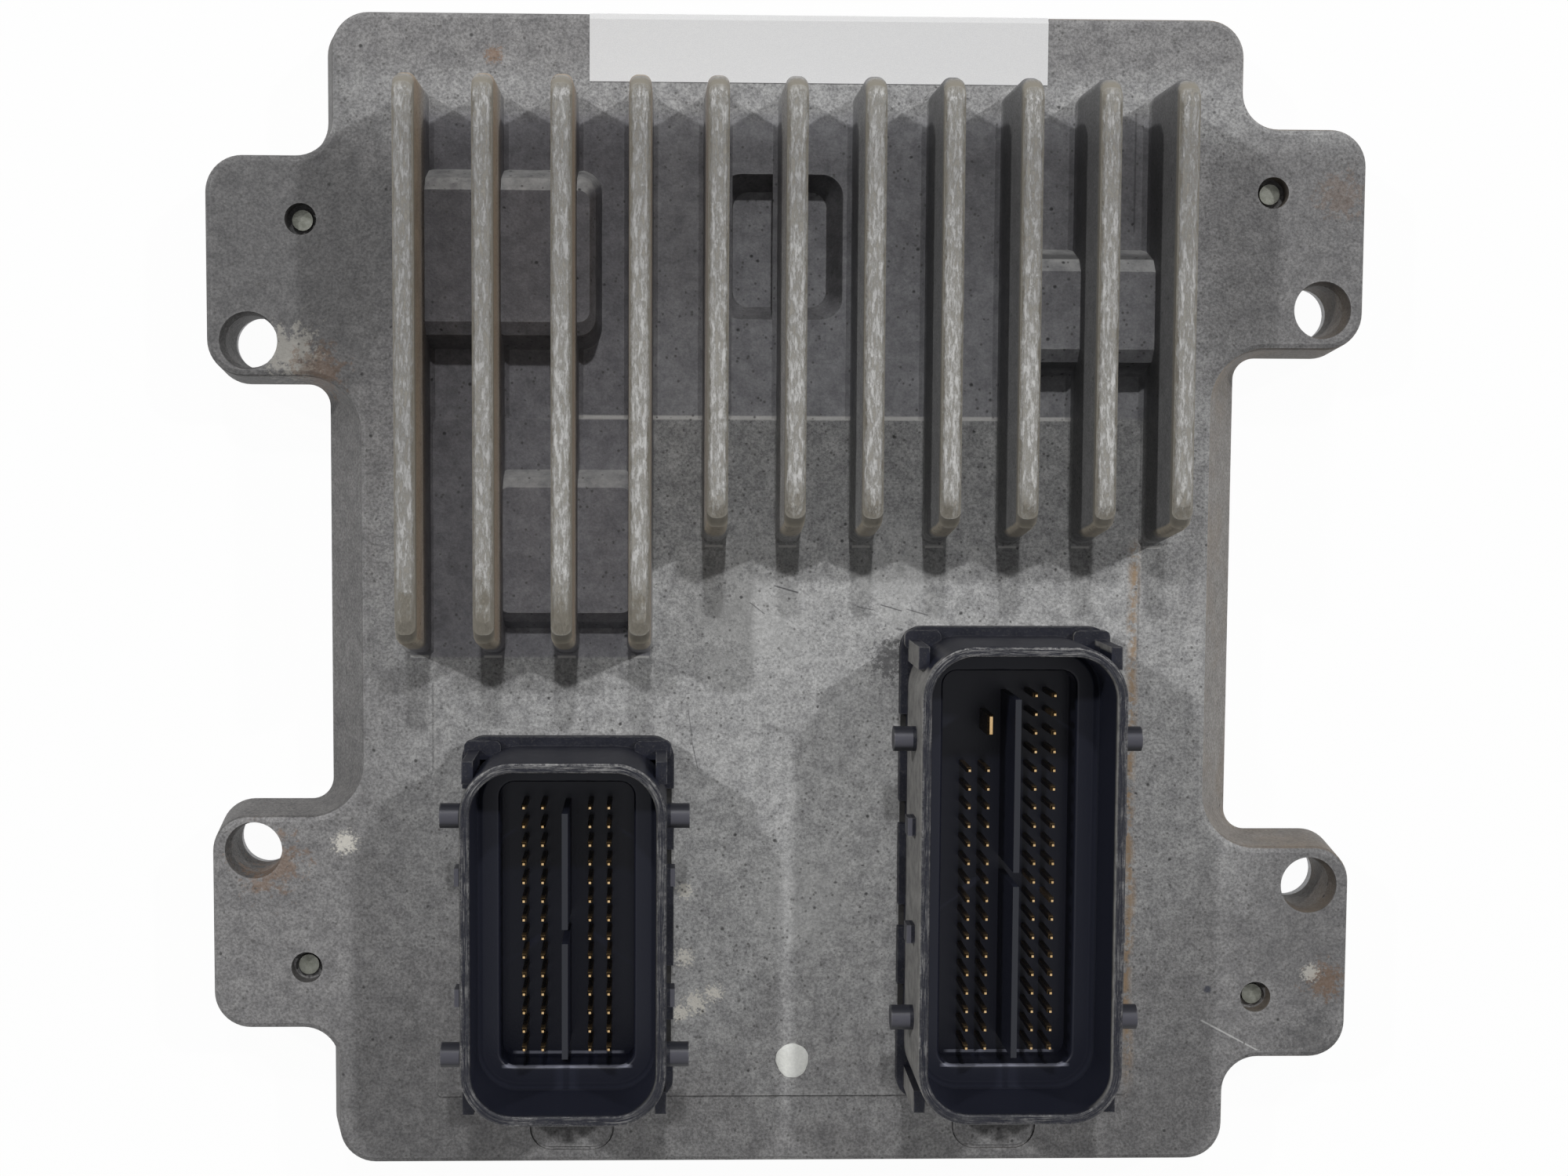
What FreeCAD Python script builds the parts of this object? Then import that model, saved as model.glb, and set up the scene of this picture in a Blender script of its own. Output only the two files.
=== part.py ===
"""Engine control unit: a finned die-cast housing with two pin headers, its cover and its electronics.

The unit lies flat. X runs across it, Y runs from the connectors to the fins, Z points up through
the connector mouths. The origin is under the middle of the cover plate. Lengths are millimetres.
"""
import FreeCAD
import Part
import Sketcher
import math
import os

DIMENSIONS = {
    # Overall outline at the foot of the casting and how far each wall leans in towards the face
    "ear_span": 160.0,
    "body_length": 160.0,
    "body_width": 128.0,
    "wall_lean": 0.8,
    "end_lean": 2.0,
    "waist_lean": 5.5,
    "body_corner": 5.0,
    "ear_corner": 5.0,
    "waist_corner": 7.5,
    "waist_foot_corner": 3.0,
    "face_rounding": 0.8,
    # Ears, measured along Y from the middle of the unit
    "left_ear_start": 29.4,
    "left_ear_end": 60.8,
    "right_ear_start": 33.8,
    "right_ear_end": 65.4,
    # Mounting bolts and cover screws
    "bolt_span": 147.0,
    "left_bolt_spacing": 70.0,
    "right_bolt_spacing": 80.0,
    "bolt_hole": 7.1,
    "bolt_mouth": 7.9,
    "bolt_mouth_angle": 9.0,
    "bolt_mouth_depth": 2.5,
    "cover_bolt_slack": 0.4,
    "screw_span": 132.6,
    "left_screw_spacing": 102.8,
    "right_screw_spacing": 111.8,
    "screw_thread": 2.8,
    "screw_head": 5.5,
    "screw_head_depth": 1.5,
    "screw_tip_depth": 1.8,
    "screw_relief": 4.3,
    "screw_relief_depth": 2.4,
    "screw_clearance": 0.1,
    "cover_screw_slack": 0.3,
    "screw_socket": 2.0,
    "screw_socket_depth": 1.1,
    # Levels of the casting
    "cover_thickness": 2.0,
    "face_level": 12.0,
    "roof_thickness": 3.0,
    "field_height": 0.4,
    "field_width": 97.0,
    "field_front": 69.6,
    "field_back": 24.7,
    "cavity_width": 110.0,
    "cavity_length": 147.0,
    "cavity_corner": 4.0,
    # Cooling fins
    "fin_count": 11,
    "long_fin_count": 4,
    "fin_pitch": 10.1,
    "fin_height": 16.4,
    "fin_root_width": 3.4,
    "fin_top_width": 2.7,
    "fin_front_run": 2.2,
    "fin_end_rounding": 3.3,
    "fin_edge_rounding": 0.45,
    "fin_flare": 0.6,
    "fin_back": 68.7,
    "long_fin_front": 7.5,
    "short_fin_front": 7.8,
    "fin_embed": 1.0,
    # Raised pockets and the sunk pocket between the fins, by the edges of their feet
    "capacitor_left": -51.6,
    "capacitor_right": -25.5,
    "capacitor_front": 34.0,
    "capacitor_back": 58.2,
    "inductor_left": 29.4,
    "inductor_right": 51.4,
    "inductor_front": 30.8,
    "inductor_back": 48.0,
    "choke_left": -40.9,
    "choke_right": -19.8,
    "choke_front": -4.3,
    "choke_back": 17.9,
    "sunk_left": -9.6,
    "sunk_right": 7.3,
    "sunk_front": 38.2,
    "sunk_back": 57.9,
    "hollow_margin": 0.8,
    "tall_pocket_height": 5.6,
    "low_pocket_height": 3.6,
    "tall_pocket_run": 3.4,
    "low_pocket_run": 2.6,
    "pocket_side_run": 1.5,
    "pocket_corner": 3.0,
    "pocket_brow": 1.2,
    "pocket_wall": 2.6,
    "sunk_depth": 3.6,
    "sunk_run": 2.0,
    "sunk_wall": 1.2,
    # Shallow frames cast in front of the connectors
    "mark_offset": 29.6,
    "mark_width": 11.8,
    "mark_front": 77.4,
    "mark_back": 70.1,
    "mark_corner": 3.2,
    "mark_groove": 0.5,
    "mark_depth": 0.3,
    # Connectors
    "pin_pitch": 2.54,
    "pin_aisle": 6.35,
    "left_rows": 14,
    "right_rows": 20,
    "missing_rows": 4,
    "connector_distance": 60.0,
    "bottom_row": 60.6,
    "pin_size": 0.64,
    "pin_taper": 0.8,
    "pin_tip_size": 0.3,
    "pin_level": 20.6,
    "blade_width": 2.8,
    "blade_thickness": 0.8,
    "blade_offset": 2.9,
    "blade_row": 20.1,
    "seal_thickness": 0.6,
    "seal_slack": 0.3,
    "shell_width": 27.0,
    "shell_end": 7.5,
    "shell_wall": 1.4,
    "shell_corner": 7.0,
    "shell_height": 17.0,
    "rim_rounding": 0.4,
    "flange_overhang": 1.0,
    "flange_end": 1.3,
    "flange_thickness": 1.6,
    "flange_corner": 3.0,
    "ledge_depth": 12.0,
    "ledge_width": 3.0,
    "recess_corner": 2.0,
    "floor_thickness": 3.0,
    "plug_clearance": 0.4,
    "plug_depth": 5.0,
    "plug_wall": 1.5,
    "plug_inset": 2.6,
    "plug_corner": 1.5,
    "rib_width": 0.8,
    "rib_height": 11.9,
    "rib_gap": 1.9,
    "peg_level": 10.9,
    "peg_size": 3.3,
    "peg_reach": 3.0,
    "left_peg_spacing": 32.2,
    "right_peg_spacing": 37.6,
    "tab_reach": 1.1,
    "tab_length": 2.4,
    "tab_height": 3.0,
    "left_tab_spacing": 16.2,
    "right_tab_spacing": 14.4,
    "notch_slack": 0.4,
    "corner_rib_length": 3.0,
    "corner_rib_width": 1.5,
    "corner_rib_height": 13.0,
    "corner_rib_inset": 0.4,
    "corner_pad_length": 5.0,
    "corner_pad_width": 2.6,
    "corner_pad_height": 1.1,
    # Cover, gasket and board
    "cover_inset": 0.4,
    "gasket_width": 2.2,
    "gasket_height": 1.5,
    "gasket_slack": 0.2,
    "gasket_wall": 2.4,
    "gasket_corner": 6.0,
    "board_bottom": 3.6,
    "board_thickness": 1.6,
    "board_width": 107.0,
    "board_length": 144.0,
    "board_corner": 3.0,
    "pin_tail": 1.0,
    "post_size": 6.0,
    "post_inset": 4.0,
    "board_screw_thread": 2.5,
    "board_screw_head": 4.6,
    "board_screw_head_height": 1.2,
    "board_screw_length": 5.6,
    "board_screw_hole": 2.9,
    "board_screw_pilot_depth": 5.0,
    "board_screw_socket": 1.5,
    "board_screw_socket_depth": 0.8,
    # Label
    "label_width": 62.2,
    "label_middle": 3.9,
    "label_gap": 1.4,
    "label_drop": 6.0,
    "label_thickness": 0.12,
    # Parts on the board
    "processor_width": 24.0,
    "processor_length": 24.0,
    "processor_height": 1.6,
    "processor_place": 42.0,
    "memory_width": 12.0,
    "memory_length": 8.0,
    "memory_height": 1.2,
    "memory_place": 17.0,
    "crystal_width": 5.0,
    "crystal_length": 3.2,
    "crystal_height": 1.3,
    "crystal_place": 60.0,
    "electrolytic_diameter": 6.3,
    "electrolytic_height": 9.3,
    "electrolytic_pitch": 7.6,
    "electrolytic_row_pitch": 7.2,
    "coil_width": 10.5,
    "coil_length": 7.6,
    "coil_height": 8.0,
    "choke_core_width": 12.0,
    "choke_core_length": 12.0,
    "choke_core_height": 6.0,
    "ceramic_width": 1.6,
    "ceramic_length": 3.2,
    "ceramic_height": 1.2,
    "ceramic_pitch": 4.0,
    "ceramic_row_pitch": 4.4,
    "ceramic_place": 25.2,
    "resistor_width": 1.25,
    "resistor_length": 2.0,
    "resistor_height": 0.6,
    "resistor_pitch": 3.0,
    "resistor_row_pitch": 3.6,
    "resistor_offset": 30.0,
    "resistor_place": 3.0,
    "transceiver_width": 5.0,
    "transceiver_length": 4.0,
    "transceiver_height": 1.5,
    "transceiver_pitch": 14.0,
    "transceiver_row_pitch": 6.0,
    "transceiver_place": 6.0,
    "igniter_width": 6.5,
    "igniter_length": 6.1,
    "igniter_height": 2.3,
    "igniter_pitch": 10.0,
    "igniter_row_pitch": 8.0,
    "igniter_place": 65.0,
    "diode_width": 7.0,
    "diode_length": 6.0,
    "diode_height": 2.4,
    "diode_offset": 14.0,
    "diode_place": 8.0,
    "driver_width": 16.0,
    "driver_length": 11.0,
    "driver_height": 3.4,
    "outer_driver_offset": 38.0,
    "inner_driver_offset": 12.0,
    "driver_place": 25.5,
    "last_driver_place": 20.0,
    "heat_pad_width": 14.0,
    "heat_pad_length": 9.0,
    "heat_pad_height": 0.4,
    "regulator_width": 10.0,
    "regulator_length": 9.0,
    "regulator_height": 1.7,
    "regulator_pad_width": 9.0,
    "regulator_pad_length": 8.0,
    "regulator_pad_height": 0.3,
}


# How far along its two legs a quarter round is after half its turn
SLOPE_SHARE = 0.29

# How much of a fin's half width its ends are rounded by in plan
FIN_CORNER_SHARE = 0.8

# Turns, in degrees, at which the rounded ends of a fin are cut into steps
FIN_TURNS = (0, 30, 60, 90)

# How much of a raised pocket's slope lies below its brow
BROW_SHARE = 0.5

# Raised pockets of the casting, each with the names of its height and of the run of its walls
RAISED_POCKETS = (
    ("capacitor", "tall_pocket_height", "tall_pocket_run"),
    ("inductor", "tall_pocket_height", "tall_pocket_run"),
    ("choke", "low_pocket_height", "low_pocket_run"),
)


class Size:
    """A length worked out from the sheet: its value now and the expression that keeps it bound."""

    def __init__(self, number, text):
        self.number = number
        self.text = text

    def __add__(self, other):
        return Size(self.number + number_of(other), f"({self.text} + {text_of(other)})")

    def __sub__(self, other):
        return Size(self.number - number_of(other), f"({self.text} - {text_of(other)})")

    def __mul__(self, other):
        return Size(self.number * number_of(other), f"({self.text} * {text_of(other)})")

    def __truediv__(self, other):
        return Size(self.number / number_of(other), f"({self.text} / {text_of(other)})")

    def __neg__(self):
        return Size(-self.number, f"(-1 * {self.text})")


def number_of(value):
    """Return the plain number of a Size or of a number."""
    return value.number if isinstance(value, Size) else float(value)


def text_of(value):
    """Return the expression of a Size or of a number."""
    return value.text if isinstance(value, Size) else repr(float(value))


def size(alias):
    """Return the Size that the sheet keeps under an alias."""
    return Size(float(DIMENSIONS[alias]), f"Sizes.{alias}")


def bind(item, path, value):
    """Set a property of an object from a Size and keep it bound."""
    item.setExpression(path, text_of(value))


def make_sheet(doc):
    """Write every driving dimension into the sheet under its alias."""
    sheet = doc.addObject("Spreadsheet::Sheet", "Sizes")
    for row, (alias, number) in enumerate(DIMENSIONS.items(), start=1):
        sheet.set(f"A{row}", alias)
        sheet.set(f"B{row}", str(number))
        sheet.setAlias(f"B{row}", alias)
    doc.recompute()
    return sheet


def new_body(doc, label, x=0.0, y=0.0, z=0.0):
    """Start a body with its label and its bound place."""
    body = doc.addObject("PartDesign::Body", label)
    body.Label = label
    for axis, value in zip("xyz", (x, y, z)):
        bind(body, f"Placement.Base.{axis}", value)
    return body


def origin_item(body, role):
    """Return an origin plane or axis of a body by its role."""
    for feature in body.Origin.OriginFeatures:
        if feature.Role == role:
            return feature
    raise ValueError(role)


def new_sketch(body, name, level=0.0, plane="XY_Plane"):
    """Start a sketch parallel to an origin plane at a bound level above it."""
    sketch = body.newObject("Sketcher::SketchObject", name)
    sketch.AttachmentSupport = (origin_item(body, plane), [""])
    sketch.MapMode = "FlatFace"
    bind(sketch, "AttachmentOffset.Base.z", level)
    return sketch


def constrain(sketch, rules):
    """Add constraints to a sketch in one go and bind those that have a size.

    Each rule is a kind, what it refers to, and a size or None. A distance below nought is measured
    from its other end.
    """
    made, bound = [], []
    for kind, references, value in rules:
        if value is None:
            made.append(Sketcher.Constraint(kind, *references))
            continue
        if number_of(value) < 0:
            references = references[2:] + references[:2]
            value = -value
        made.append(Sketcher.Constraint(kind, *references, number_of(value)))
        bound.append((len(made) - 1, value))
    first = sketch.ConstraintCount
    sketch.addConstraint(made)
    for index, value in bound:
        if isinstance(value, Size):
            sketch.setExpression(f"Constraints[{first + index}]", value.text)


def rounded_outline(sketch, sides, radii):
    """Draw a closed outline of upright and level lines joined by tangent arcs.

    sides lists the lines in turn: upright ones by their X, level ones by their Y, starting upright.
    radii[i] rounds the corner between line i and the next.
    """
    count = len(sides)
    corners = []
    for index in range(count):
        here, after = number_of(sides[index]), number_of(sides[(index + 1) % count])
        corners.append((here, after) if index % 2 == 0 else (after, here))
    starts, ends, centres = [], [], []
    for index in range(count):
        before, corner = corners[index - 1], corners[index]
        after = corners[(index + 1) % count]
        radius = number_of(radii[index])
        back = step_towards(corner, before, radius)
        forth = step_towards(corner, after, radius)
        ends.append(back)
        starts.append(forth)
        centres.append((back[0] + forth[0] - corner[0], back[1] + forth[1] - corner[1]))
    base = sketch.GeometryCount
    lines = [Part.LineSegment(point(starts[i - 1]), point(ends[i])) for i in range(count)]
    arcs = [corner_arc(centres[i], ends[i], starts[i], number_of(radii[i])) for i in range(count)]
    sketch.addGeometry(lines + arcs)
    rules = []
    for index in range(count):
        line, arc, following = base + index, base + count + index, base + (index + 1) % count
        entry, leave = (1, 2) if turns_left(ends[index], centres[index], starts[index]) else (2, 1)
        rules.append(("Tangent", (line, 2, arc, entry), None))
        rules.append(("Tangent", (arc, leave, following, 1), None))
        rules.append(("Radius", (arc,), radii[index]))
        upright = index % 2 == 0
        rules.append(("Vertical" if upright else "Horizontal", (line,), None))
        rules.append(("DistanceX" if upright else "DistanceY", (-1, 1, line, 1), sides[index]))
    constrain(sketch, rules)


def point(pair):
    """Return a sketch point."""
    return FreeCAD.Vector(pair[0], pair[1], 0)


def step_towards(start, target, length):
    """Return the point a length away from start towards target."""
    dx, dy = target[0] - start[0], target[1] - start[1]
    span = (dx * dx + dy * dy) ** 0.5
    return (start[0] + dx / span * length, start[1] + dy / span * length)


def turns_left(begin, centre, end):
    """Tell whether the short way from begin to end runs anticlockwise round centre."""
    ax, ay = begin[0] - centre[0], begin[1] - centre[1]
    bx, by = end[0] - centre[0], end[1] - centre[1]
    return ax * by - ay * bx > 0


def corner_arc(centre, begin, end, radius):
    """Return the quarter arc from begin to end round centre, always stored anticlockwise."""
    if not turns_left(begin, centre, end):
        begin, end = end, begin
    ax, ay = begin[0] - centre[0], begin[1] - centre[1]
    bx, by = end[0] - centre[0], end[1] - centre[1]
    middle_x, middle_y = ax + bx, ay + by
    span = (middle_x ** 2 + middle_y ** 2) ** 0.5
    middle = (centre[0] + middle_x / span * radius, centre[1] + middle_y / span * radius)
    return Part.Arc(point(begin), point(middle), point(end))


def rounded_box(sketch, x_low, x_high, y_low, y_high, radius):
    """Draw a rectangle with four equal rounded corners."""
    rounded_outline(sketch, [x_high, y_high, x_low, y_low], [radius] * 4)


def centred_box(sketch, width, length, radius):
    """Draw a rounded rectangle centred on the sketch."""
    rounded_box(sketch, -(width / 2), width / 2, -(length / 2), length / 2, radius)


def sharp_box(sketch, x_low, x_high, y_low, y_high):
    """Draw a rectangle with sharp corners."""
    xs, ys = (number_of(x_low), number_of(x_high)), (number_of(y_low), number_of(y_high))
    path = [(xs[0], ys[0]), (xs[1], ys[0]), (xs[1], ys[1]), (xs[0], ys[1])]
    base = sketch.GeometryCount
    sketch.addGeometry([Part.LineSegment(point(path[i]), point(path[(i + 1) % 4])) for i in range(4)])
    rules = []
    for index, value in enumerate((y_low, x_high, y_high, x_low)):
        line, level = base + index, index % 2 == 0
        rules.append(("Coincident", (line, 2, base + (index + 1) % 4, 1), None))
        rules.append(("Horizontal" if level else "Vertical", (line,), None))
        rules.append(at_distance(line, 1, value, "DistanceY" if level else "DistanceX"))
    constrain(sketch, rules)


def at_distance(geometry, vertex, value, kind):
    """Return the rule that holds a point at a distance from an axis, or on it where that is nought."""
    if number_of(value) == 0:
        return ("PointOnObject", (geometry, vertex, -2 if kind == "DistanceX" else -1), None)
    return (kind, (-1, 1, geometry, vertex), value)


def circles(sketch, places, diameter):
    """Draw equal circles at bound places."""
    base = sketch.GeometryCount
    normal = FreeCAD.Vector(0, 0, 1)
    radius = diameter / 2
    sketch.addGeometry([Part.Circle(point((number_of(x), number_of(y))), normal, number_of(radius))
                        for x, y in places])
    rules = []
    for index, (x, y) in enumerate(places):
        rules.append(("Radius", (base + index,), radius))
        rules.append(at_distance(base + index, 3, x, "DistanceX"))
        rules.append(at_distance(base + index, 3, y, "DistanceY"))
    constrain(sketch, rules)


def shape_volume(body):
    """Return the volume of a body so far."""
    return 0.0 if body.Shape.isNull() else body.Shape.Volume


def pad(body, sketch, height, down=False, both=False):
    """Raise a sketch into a solid and check that it added something."""
    before = shape_volume(body)
    feature = body.newObject("PartDesign::Pad", sketch.Name + "_pad")
    feature.Profile = sketch
    feature.Refine = False
    feature.Reversed = down
    feature.Midplane = both
    bind(feature, "Length", height)
    check_change(body, before, feature, grows=True)
    return feature


def pocket(body, sketch, depth=None, up=False, taper=None):
    """Cut a sketch out of a solid, downwards or upwards, or right through where no depth is given."""
    before = shape_volume(body)
    feature = body.newObject("PartDesign::Pocket", sketch.Name + "_cut")
    feature.Profile = sketch
    feature.Refine = False
    feature.Reversed = up
    if depth is None:
        feature.Type = "ThroughAll"
        feature.Midplane = True
    else:
        bind(feature, "Length", depth)
    if taper is not None:
        bind(feature, "TaperAngle", taper)
    check_change(body, before, feature, grows=False)
    return feature


def loft(body, first, others, cut=False):
    """Join sketches of like outline by straight walls, as a solid or as a cut."""
    before = shape_volume(body)
    kind = "PartDesign::SubtractiveLoft" if cut else "PartDesign::AdditiveLoft"
    feature = body.newObject(kind, first.Name + "_loft")
    feature.Profile = first
    feature.Refine = False
    feature.Sections = others
    feature.Ruled = True
    check_change(body, before, feature, grows=not cut)
    return feature


def check_change(body, before, feature, grows):
    """Stop where a feature failed or pointed away from the solid."""
    body.Document.recompute()
    after = shape_volume(body)
    changed = after > before + 1e-6 if grows else after < before - 1e-6
    if not changed:
        raise ValueError(f"{body.Label}: {feature.Name} changed nothing ({before} to {after})")


def round_edges(body, radius, level):
    """Round the edges of a body that lie flat at a level."""
    body.Document.recompute()
    tip = body.Tip
    names = [f"Edge{index}" for index, edge in enumerate(tip.Shape.Edges, start=1)
             if all(abs(vertex.Z - number_of(level)) < 1e-4 for vertex in edge.Vertexes)]
    feature = body.newObject("PartDesign::Fillet", f"{tip.Name}_rounding")
    feature.Base = (tip, names)
    bind(feature, "Radius", radius)
    body.Document.recompute()


def unit_outline(sketch, lean, inset):
    """Draw the outline of body and ears: lean 0 is the foot and 1 the shoulder, inset rounds the face."""
    spread = size("wall_lean") * lean + inset
    ear = size("ear_span") / 2 - spread
    end = size("body_length") / 2 - spread
    side = size("body_width") / 2 - size("end_lean") * lean - inset
    waist = size("body_width") / 2 - size("waist_lean") * lean - inset
    right_in, right_out = size("right_ear_start") + spread, size("right_ear_end") - spread
    left_in, left_out = size("left_ear_start") + spread, size("left_ear_end") - spread
    sides = [waist, right_in, ear, right_out, side, end, -side, left_out, -ear, left_in,
             -waist, -left_in, -ear, -left_out, -side, -end, side, -right_out, ear, -right_in]
    outer = size("ear_corner") - inset
    inner = size("ear_corner") + inset
    body_corner = size("body_corner") - inset
    waist_round = size("waist_foot_corner") * (1 - lean) + size("waist_corner") * lean + inset
    half = [waist_round, outer, outer, inner, body_corner, body_corner, inner, outer, outer, waist_round]
    rounded_outline(sketch, sides, half + half)


def casting_block(body):
    """Loft the drafted block with its ears, in steps that round the edge of its face."""
    level, rounding = size("face_level"), size("face_rounding")
    steps = [
        ("foot", size("cover_thickness"), 0.0, 0.0),
        ("shoulder", level - rounding, 1.0, 0.0),
        ("brow", level - rounding * SLOPE_SHARE, 1.0, SLOPE_SHARE),
        ("face", level, 1.0, 1.0),
    ]
    sketches = []
    for name, height, lean, rounded in steps:
        sketch = new_sketch(body, f"{name}_outline", height)
        unit_outline(sketch, lean, rounding * rounded)
        sketches.append(sketch)
    loft(body, sketches[0], sketches[1:])


def connector_middle(side):
    """Return the middle of the left or right connector."""
    rows = size(f"{side}_rows")
    x = size("connector_distance") / 2
    y = -size("bottom_row") + (rows - 1) * size("pin_pitch") / 2
    return (-x if side == "left" else x), y


def shell_length(side):
    """Return the outer length of a connector shell along Y."""
    return (size(f"{side}_rows") - 1) * size("pin_pitch") + size("shell_end") * 2


def raised_field(body):
    """Add the low field that carries the connectors."""
    sketch = new_sketch(body, "field", size("face_level"))
    half = size("field_width") / 2
    rounded_box(sketch, -half, half, -size("field_front"), size("field_back"), size("body_corner") / 5)
    pad(body, sketch, size("field_height"))


def tapered_boss(body, name, run, side_run, corner, height=None, depth=None):
    """Add a boss with sloping walls and a softer brow, or sink a pocket with sloping walls.

    run is how far the front and back walls lean in, side_run how far the side walls do.
    """
    edges = [size(f"{name}_{edge}") for edge in ("left", "right", "front", "back")]
    level = size("face_level")
    if depth is None:
        steps = [(level, 0), (level + height - size("pocket_brow"), BROW_SHARE), (level + height, 1)]
    else:
        steps = [(level, 0), (level - depth, 1)]
    sketches = []
    for index, (rise, share) in enumerate(steps):
        inset, side_inset = run * share, side_run * share
        sketch = new_sketch(body, f"{name}_step_{index}", rise)
        rounded_box(sketch, edges[0] + side_inset, edges[1] - side_inset, edges[2] + inset, edges[3] - inset,
                    corner - corner / 4 * index)
        sketches.append(sketch)
    loft(body, sketches[0], sketches[1:], cut=depth is not None)


def fin_profile():
    """Return a fin's steps from the root up: level above the face, trim of its sides and of its ends."""
    flare, rounding = size("fin_flare"), size("fin_end_rounding")
    shoulder = size("fin_height") - rounding
    steps = [(-size("fin_embed"), -flare, -flare), (Size(0.0, "0"), -flare, -flare), (flare, 0, 0)]
    for turn in FIN_TURNS:
        sides = size("fin_edge_rounding") if turn == FIN_TURNS[-1] else 0
        angle = math.radians(turn)
        steps.append((shoulder + rounding * math.sin(angle), sides, rounding * (1 - math.cos(angle))))
    return steps


def fin_row(body, name, first, count, front):
    """Loft one fin with a flared root, a drafted front and rounded ends, and repeat it across."""
    place = -(size("fin_count") - 1) / 2 * size("fin_pitch") + size("fin_pitch") * first
    lean = (size("fin_root_width") - size("fin_top_width")) / 2 / size("fin_height")
    slope = size("fin_front_run") / (size("fin_height") - size("fin_end_rounding"))
    sketches = []
    for index, (rise, side_trim, end_trim) in enumerate(fin_profile()):
        half = size("fin_root_width") / 2 - lean * rise - side_trim
        leaning = min(rise, size("fin_height") - size("fin_end_rounding"), key=number_of)
        sketch = new_sketch(body, f"{name}_step_{index}", size("face_level") + rise)
        rounded_box(sketch, place - half, place + half, front + slope * leaning + end_trim,
                    size("fin_back") - end_trim, half * FIN_CORNER_SHARE)
        sketches.append(sketch)
    feature = loft(body, sketches[0], sketches[1:])
    pattern = body.newObject("PartDesign::LinearPattern", f"{name}_pattern")
    pattern.Originals = [feature]
    pattern.Refine = False
    pattern.Direction = (sketches[0], ["H_Axis"])
    bind(pattern, "Length", (count - 1) * size("fin_pitch"))
    bind(pattern, "Occurrences", count)
    body.Tip = pattern
    body.Document.recompute()


def mirrored_places(x, y):
    """Return the two places at one X that mirror each other across the middle."""
    return [(x, y), (x, -y)]


def bolt_places():
    """Return the places of the four mounting bolts."""
    x = size("bolt_span") / 2
    return (mirrored_places(-x, size("left_bolt_spacing") / 2)
            + mirrored_places(x, size("right_bolt_spacing") / 2))


def screw_places():
    """Return the places of the four cover screws."""
    x = size("screw_span") / 2
    return (mirrored_places(-x, size("left_screw_spacing") / 2)
            + mirrored_places(x, size("right_screw_spacing") / 2))


def post_places():
    """Return the places of the six board posts."""
    x = size("board_width") / 2 - size("post_inset")
    y = size("board_length") / 2 - size("post_inset")
    middle = Size(0.0, "0")
    return [(side, place) for side in (-x, x) for place in (-y, middle, y)]


def window_box(sketch, side, extra):
    """Draw the opening that a connector's plug passes through, widened by a margin."""
    x, y = connector_middle(side)
    half = size("shell_width") / 2 - size("plug_inset") + extra
    reach = shell_length(side) / 2 - size("plug_inset") + extra
    rounded_box(sketch, x - half, x + half, y - reach, y + reach, size("plug_corner") + extra)


def roof_underside():
    """Return the level of the ceiling inside the casting."""
    return size("face_level") - size("roof_thickness")


def hollow_casting(body):
    """Cut the cavity that holds the board."""
    floor = size("cover_thickness")
    cavity = new_sketch(body, "cavity", floor)
    centred_box(cavity, size("cavity_width"), size("cavity_length"), size("cavity_corner"))
    pocket(body, cavity, roof_underside() - floor, up=True)


def hollow_boss(body, name, height, run):
    """Cut the hollow under a raised pocket."""
    inset, side_inset = run + size("hollow_margin"), size("pocket_side_run") + size("hollow_margin")
    hollow = new_sketch(body, f"{name}_hollow", roof_underside())
    rounded_box(hollow, size(f"{name}_left") + side_inset, size(f"{name}_right") - side_inset,
                size(f"{name}_front") + inset, size(f"{name}_back") - inset, size("pocket_corner") / 3)
    pocket(body, hollow, size("roof_thickness") + height - size("pocket_wall"), up=True)


def cut_windows(body):
    """Cut the openings that the connector plugs pass through."""
    for side in ("left", "right"):
        window = new_sketch(body, f"{side}_window", roof_underside())
        window_box(window, side, size("plug_clearance"))
        pocket(body, window, size("roof_thickness") + size("field_height"), up=True)


def add_inner_forms(body):
    """Add the heat pad under the sunk pocket, the board posts and the gasket groove."""
    bottom = size("face_level") - size("sunk_depth") - size("sunk_wall")
    heat_pad = new_sketch(body, "heat_pad", bottom)
    rounded_box(heat_pad, size("sunk_left"), size("sunk_right"), size("sunk_front"), size("sunk_back"),
                size("pocket_corner") / 3)
    pad(body, heat_pad, roof_underside() - bottom)
    posts = new_sketch(body, "posts", board_top())
    circles(posts, post_places(), size("post_size"))
    pad(body, posts, roof_underside() - board_top())
    pilots = new_sketch(body, "pilots", board_top())
    circles(pilots, post_places(), size("board_screw_thread") + size("screw_clearance"))
    pocket(body, pilots, size("board_screw_pilot_depth"), up=True)
    groove = new_sketch(body, "gasket_groove", size("cover_thickness"))
    gasket_ring(groove, size("gasket_slack"))
    pocket(body, groove, size("gasket_height"), up=True)


def gasket_ring(sketch, slack):
    """Draw the two outlines of the cover gasket, widened by a slack on both sides."""
    wall, width = size("gasket_wall") + size("gasket_slack"), size("gasket_width")
    outer_x, outer_y = size("body_width") / 2 - wall, size("body_length") / 2 - wall
    for shift, corner in ((slack, 0), (-width - slack, -width)):
        x, y = outer_x + shift, outer_y + shift
        rounded_box(sketch, -x, x, -y, y, size("gasket_corner") + corner)


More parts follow.
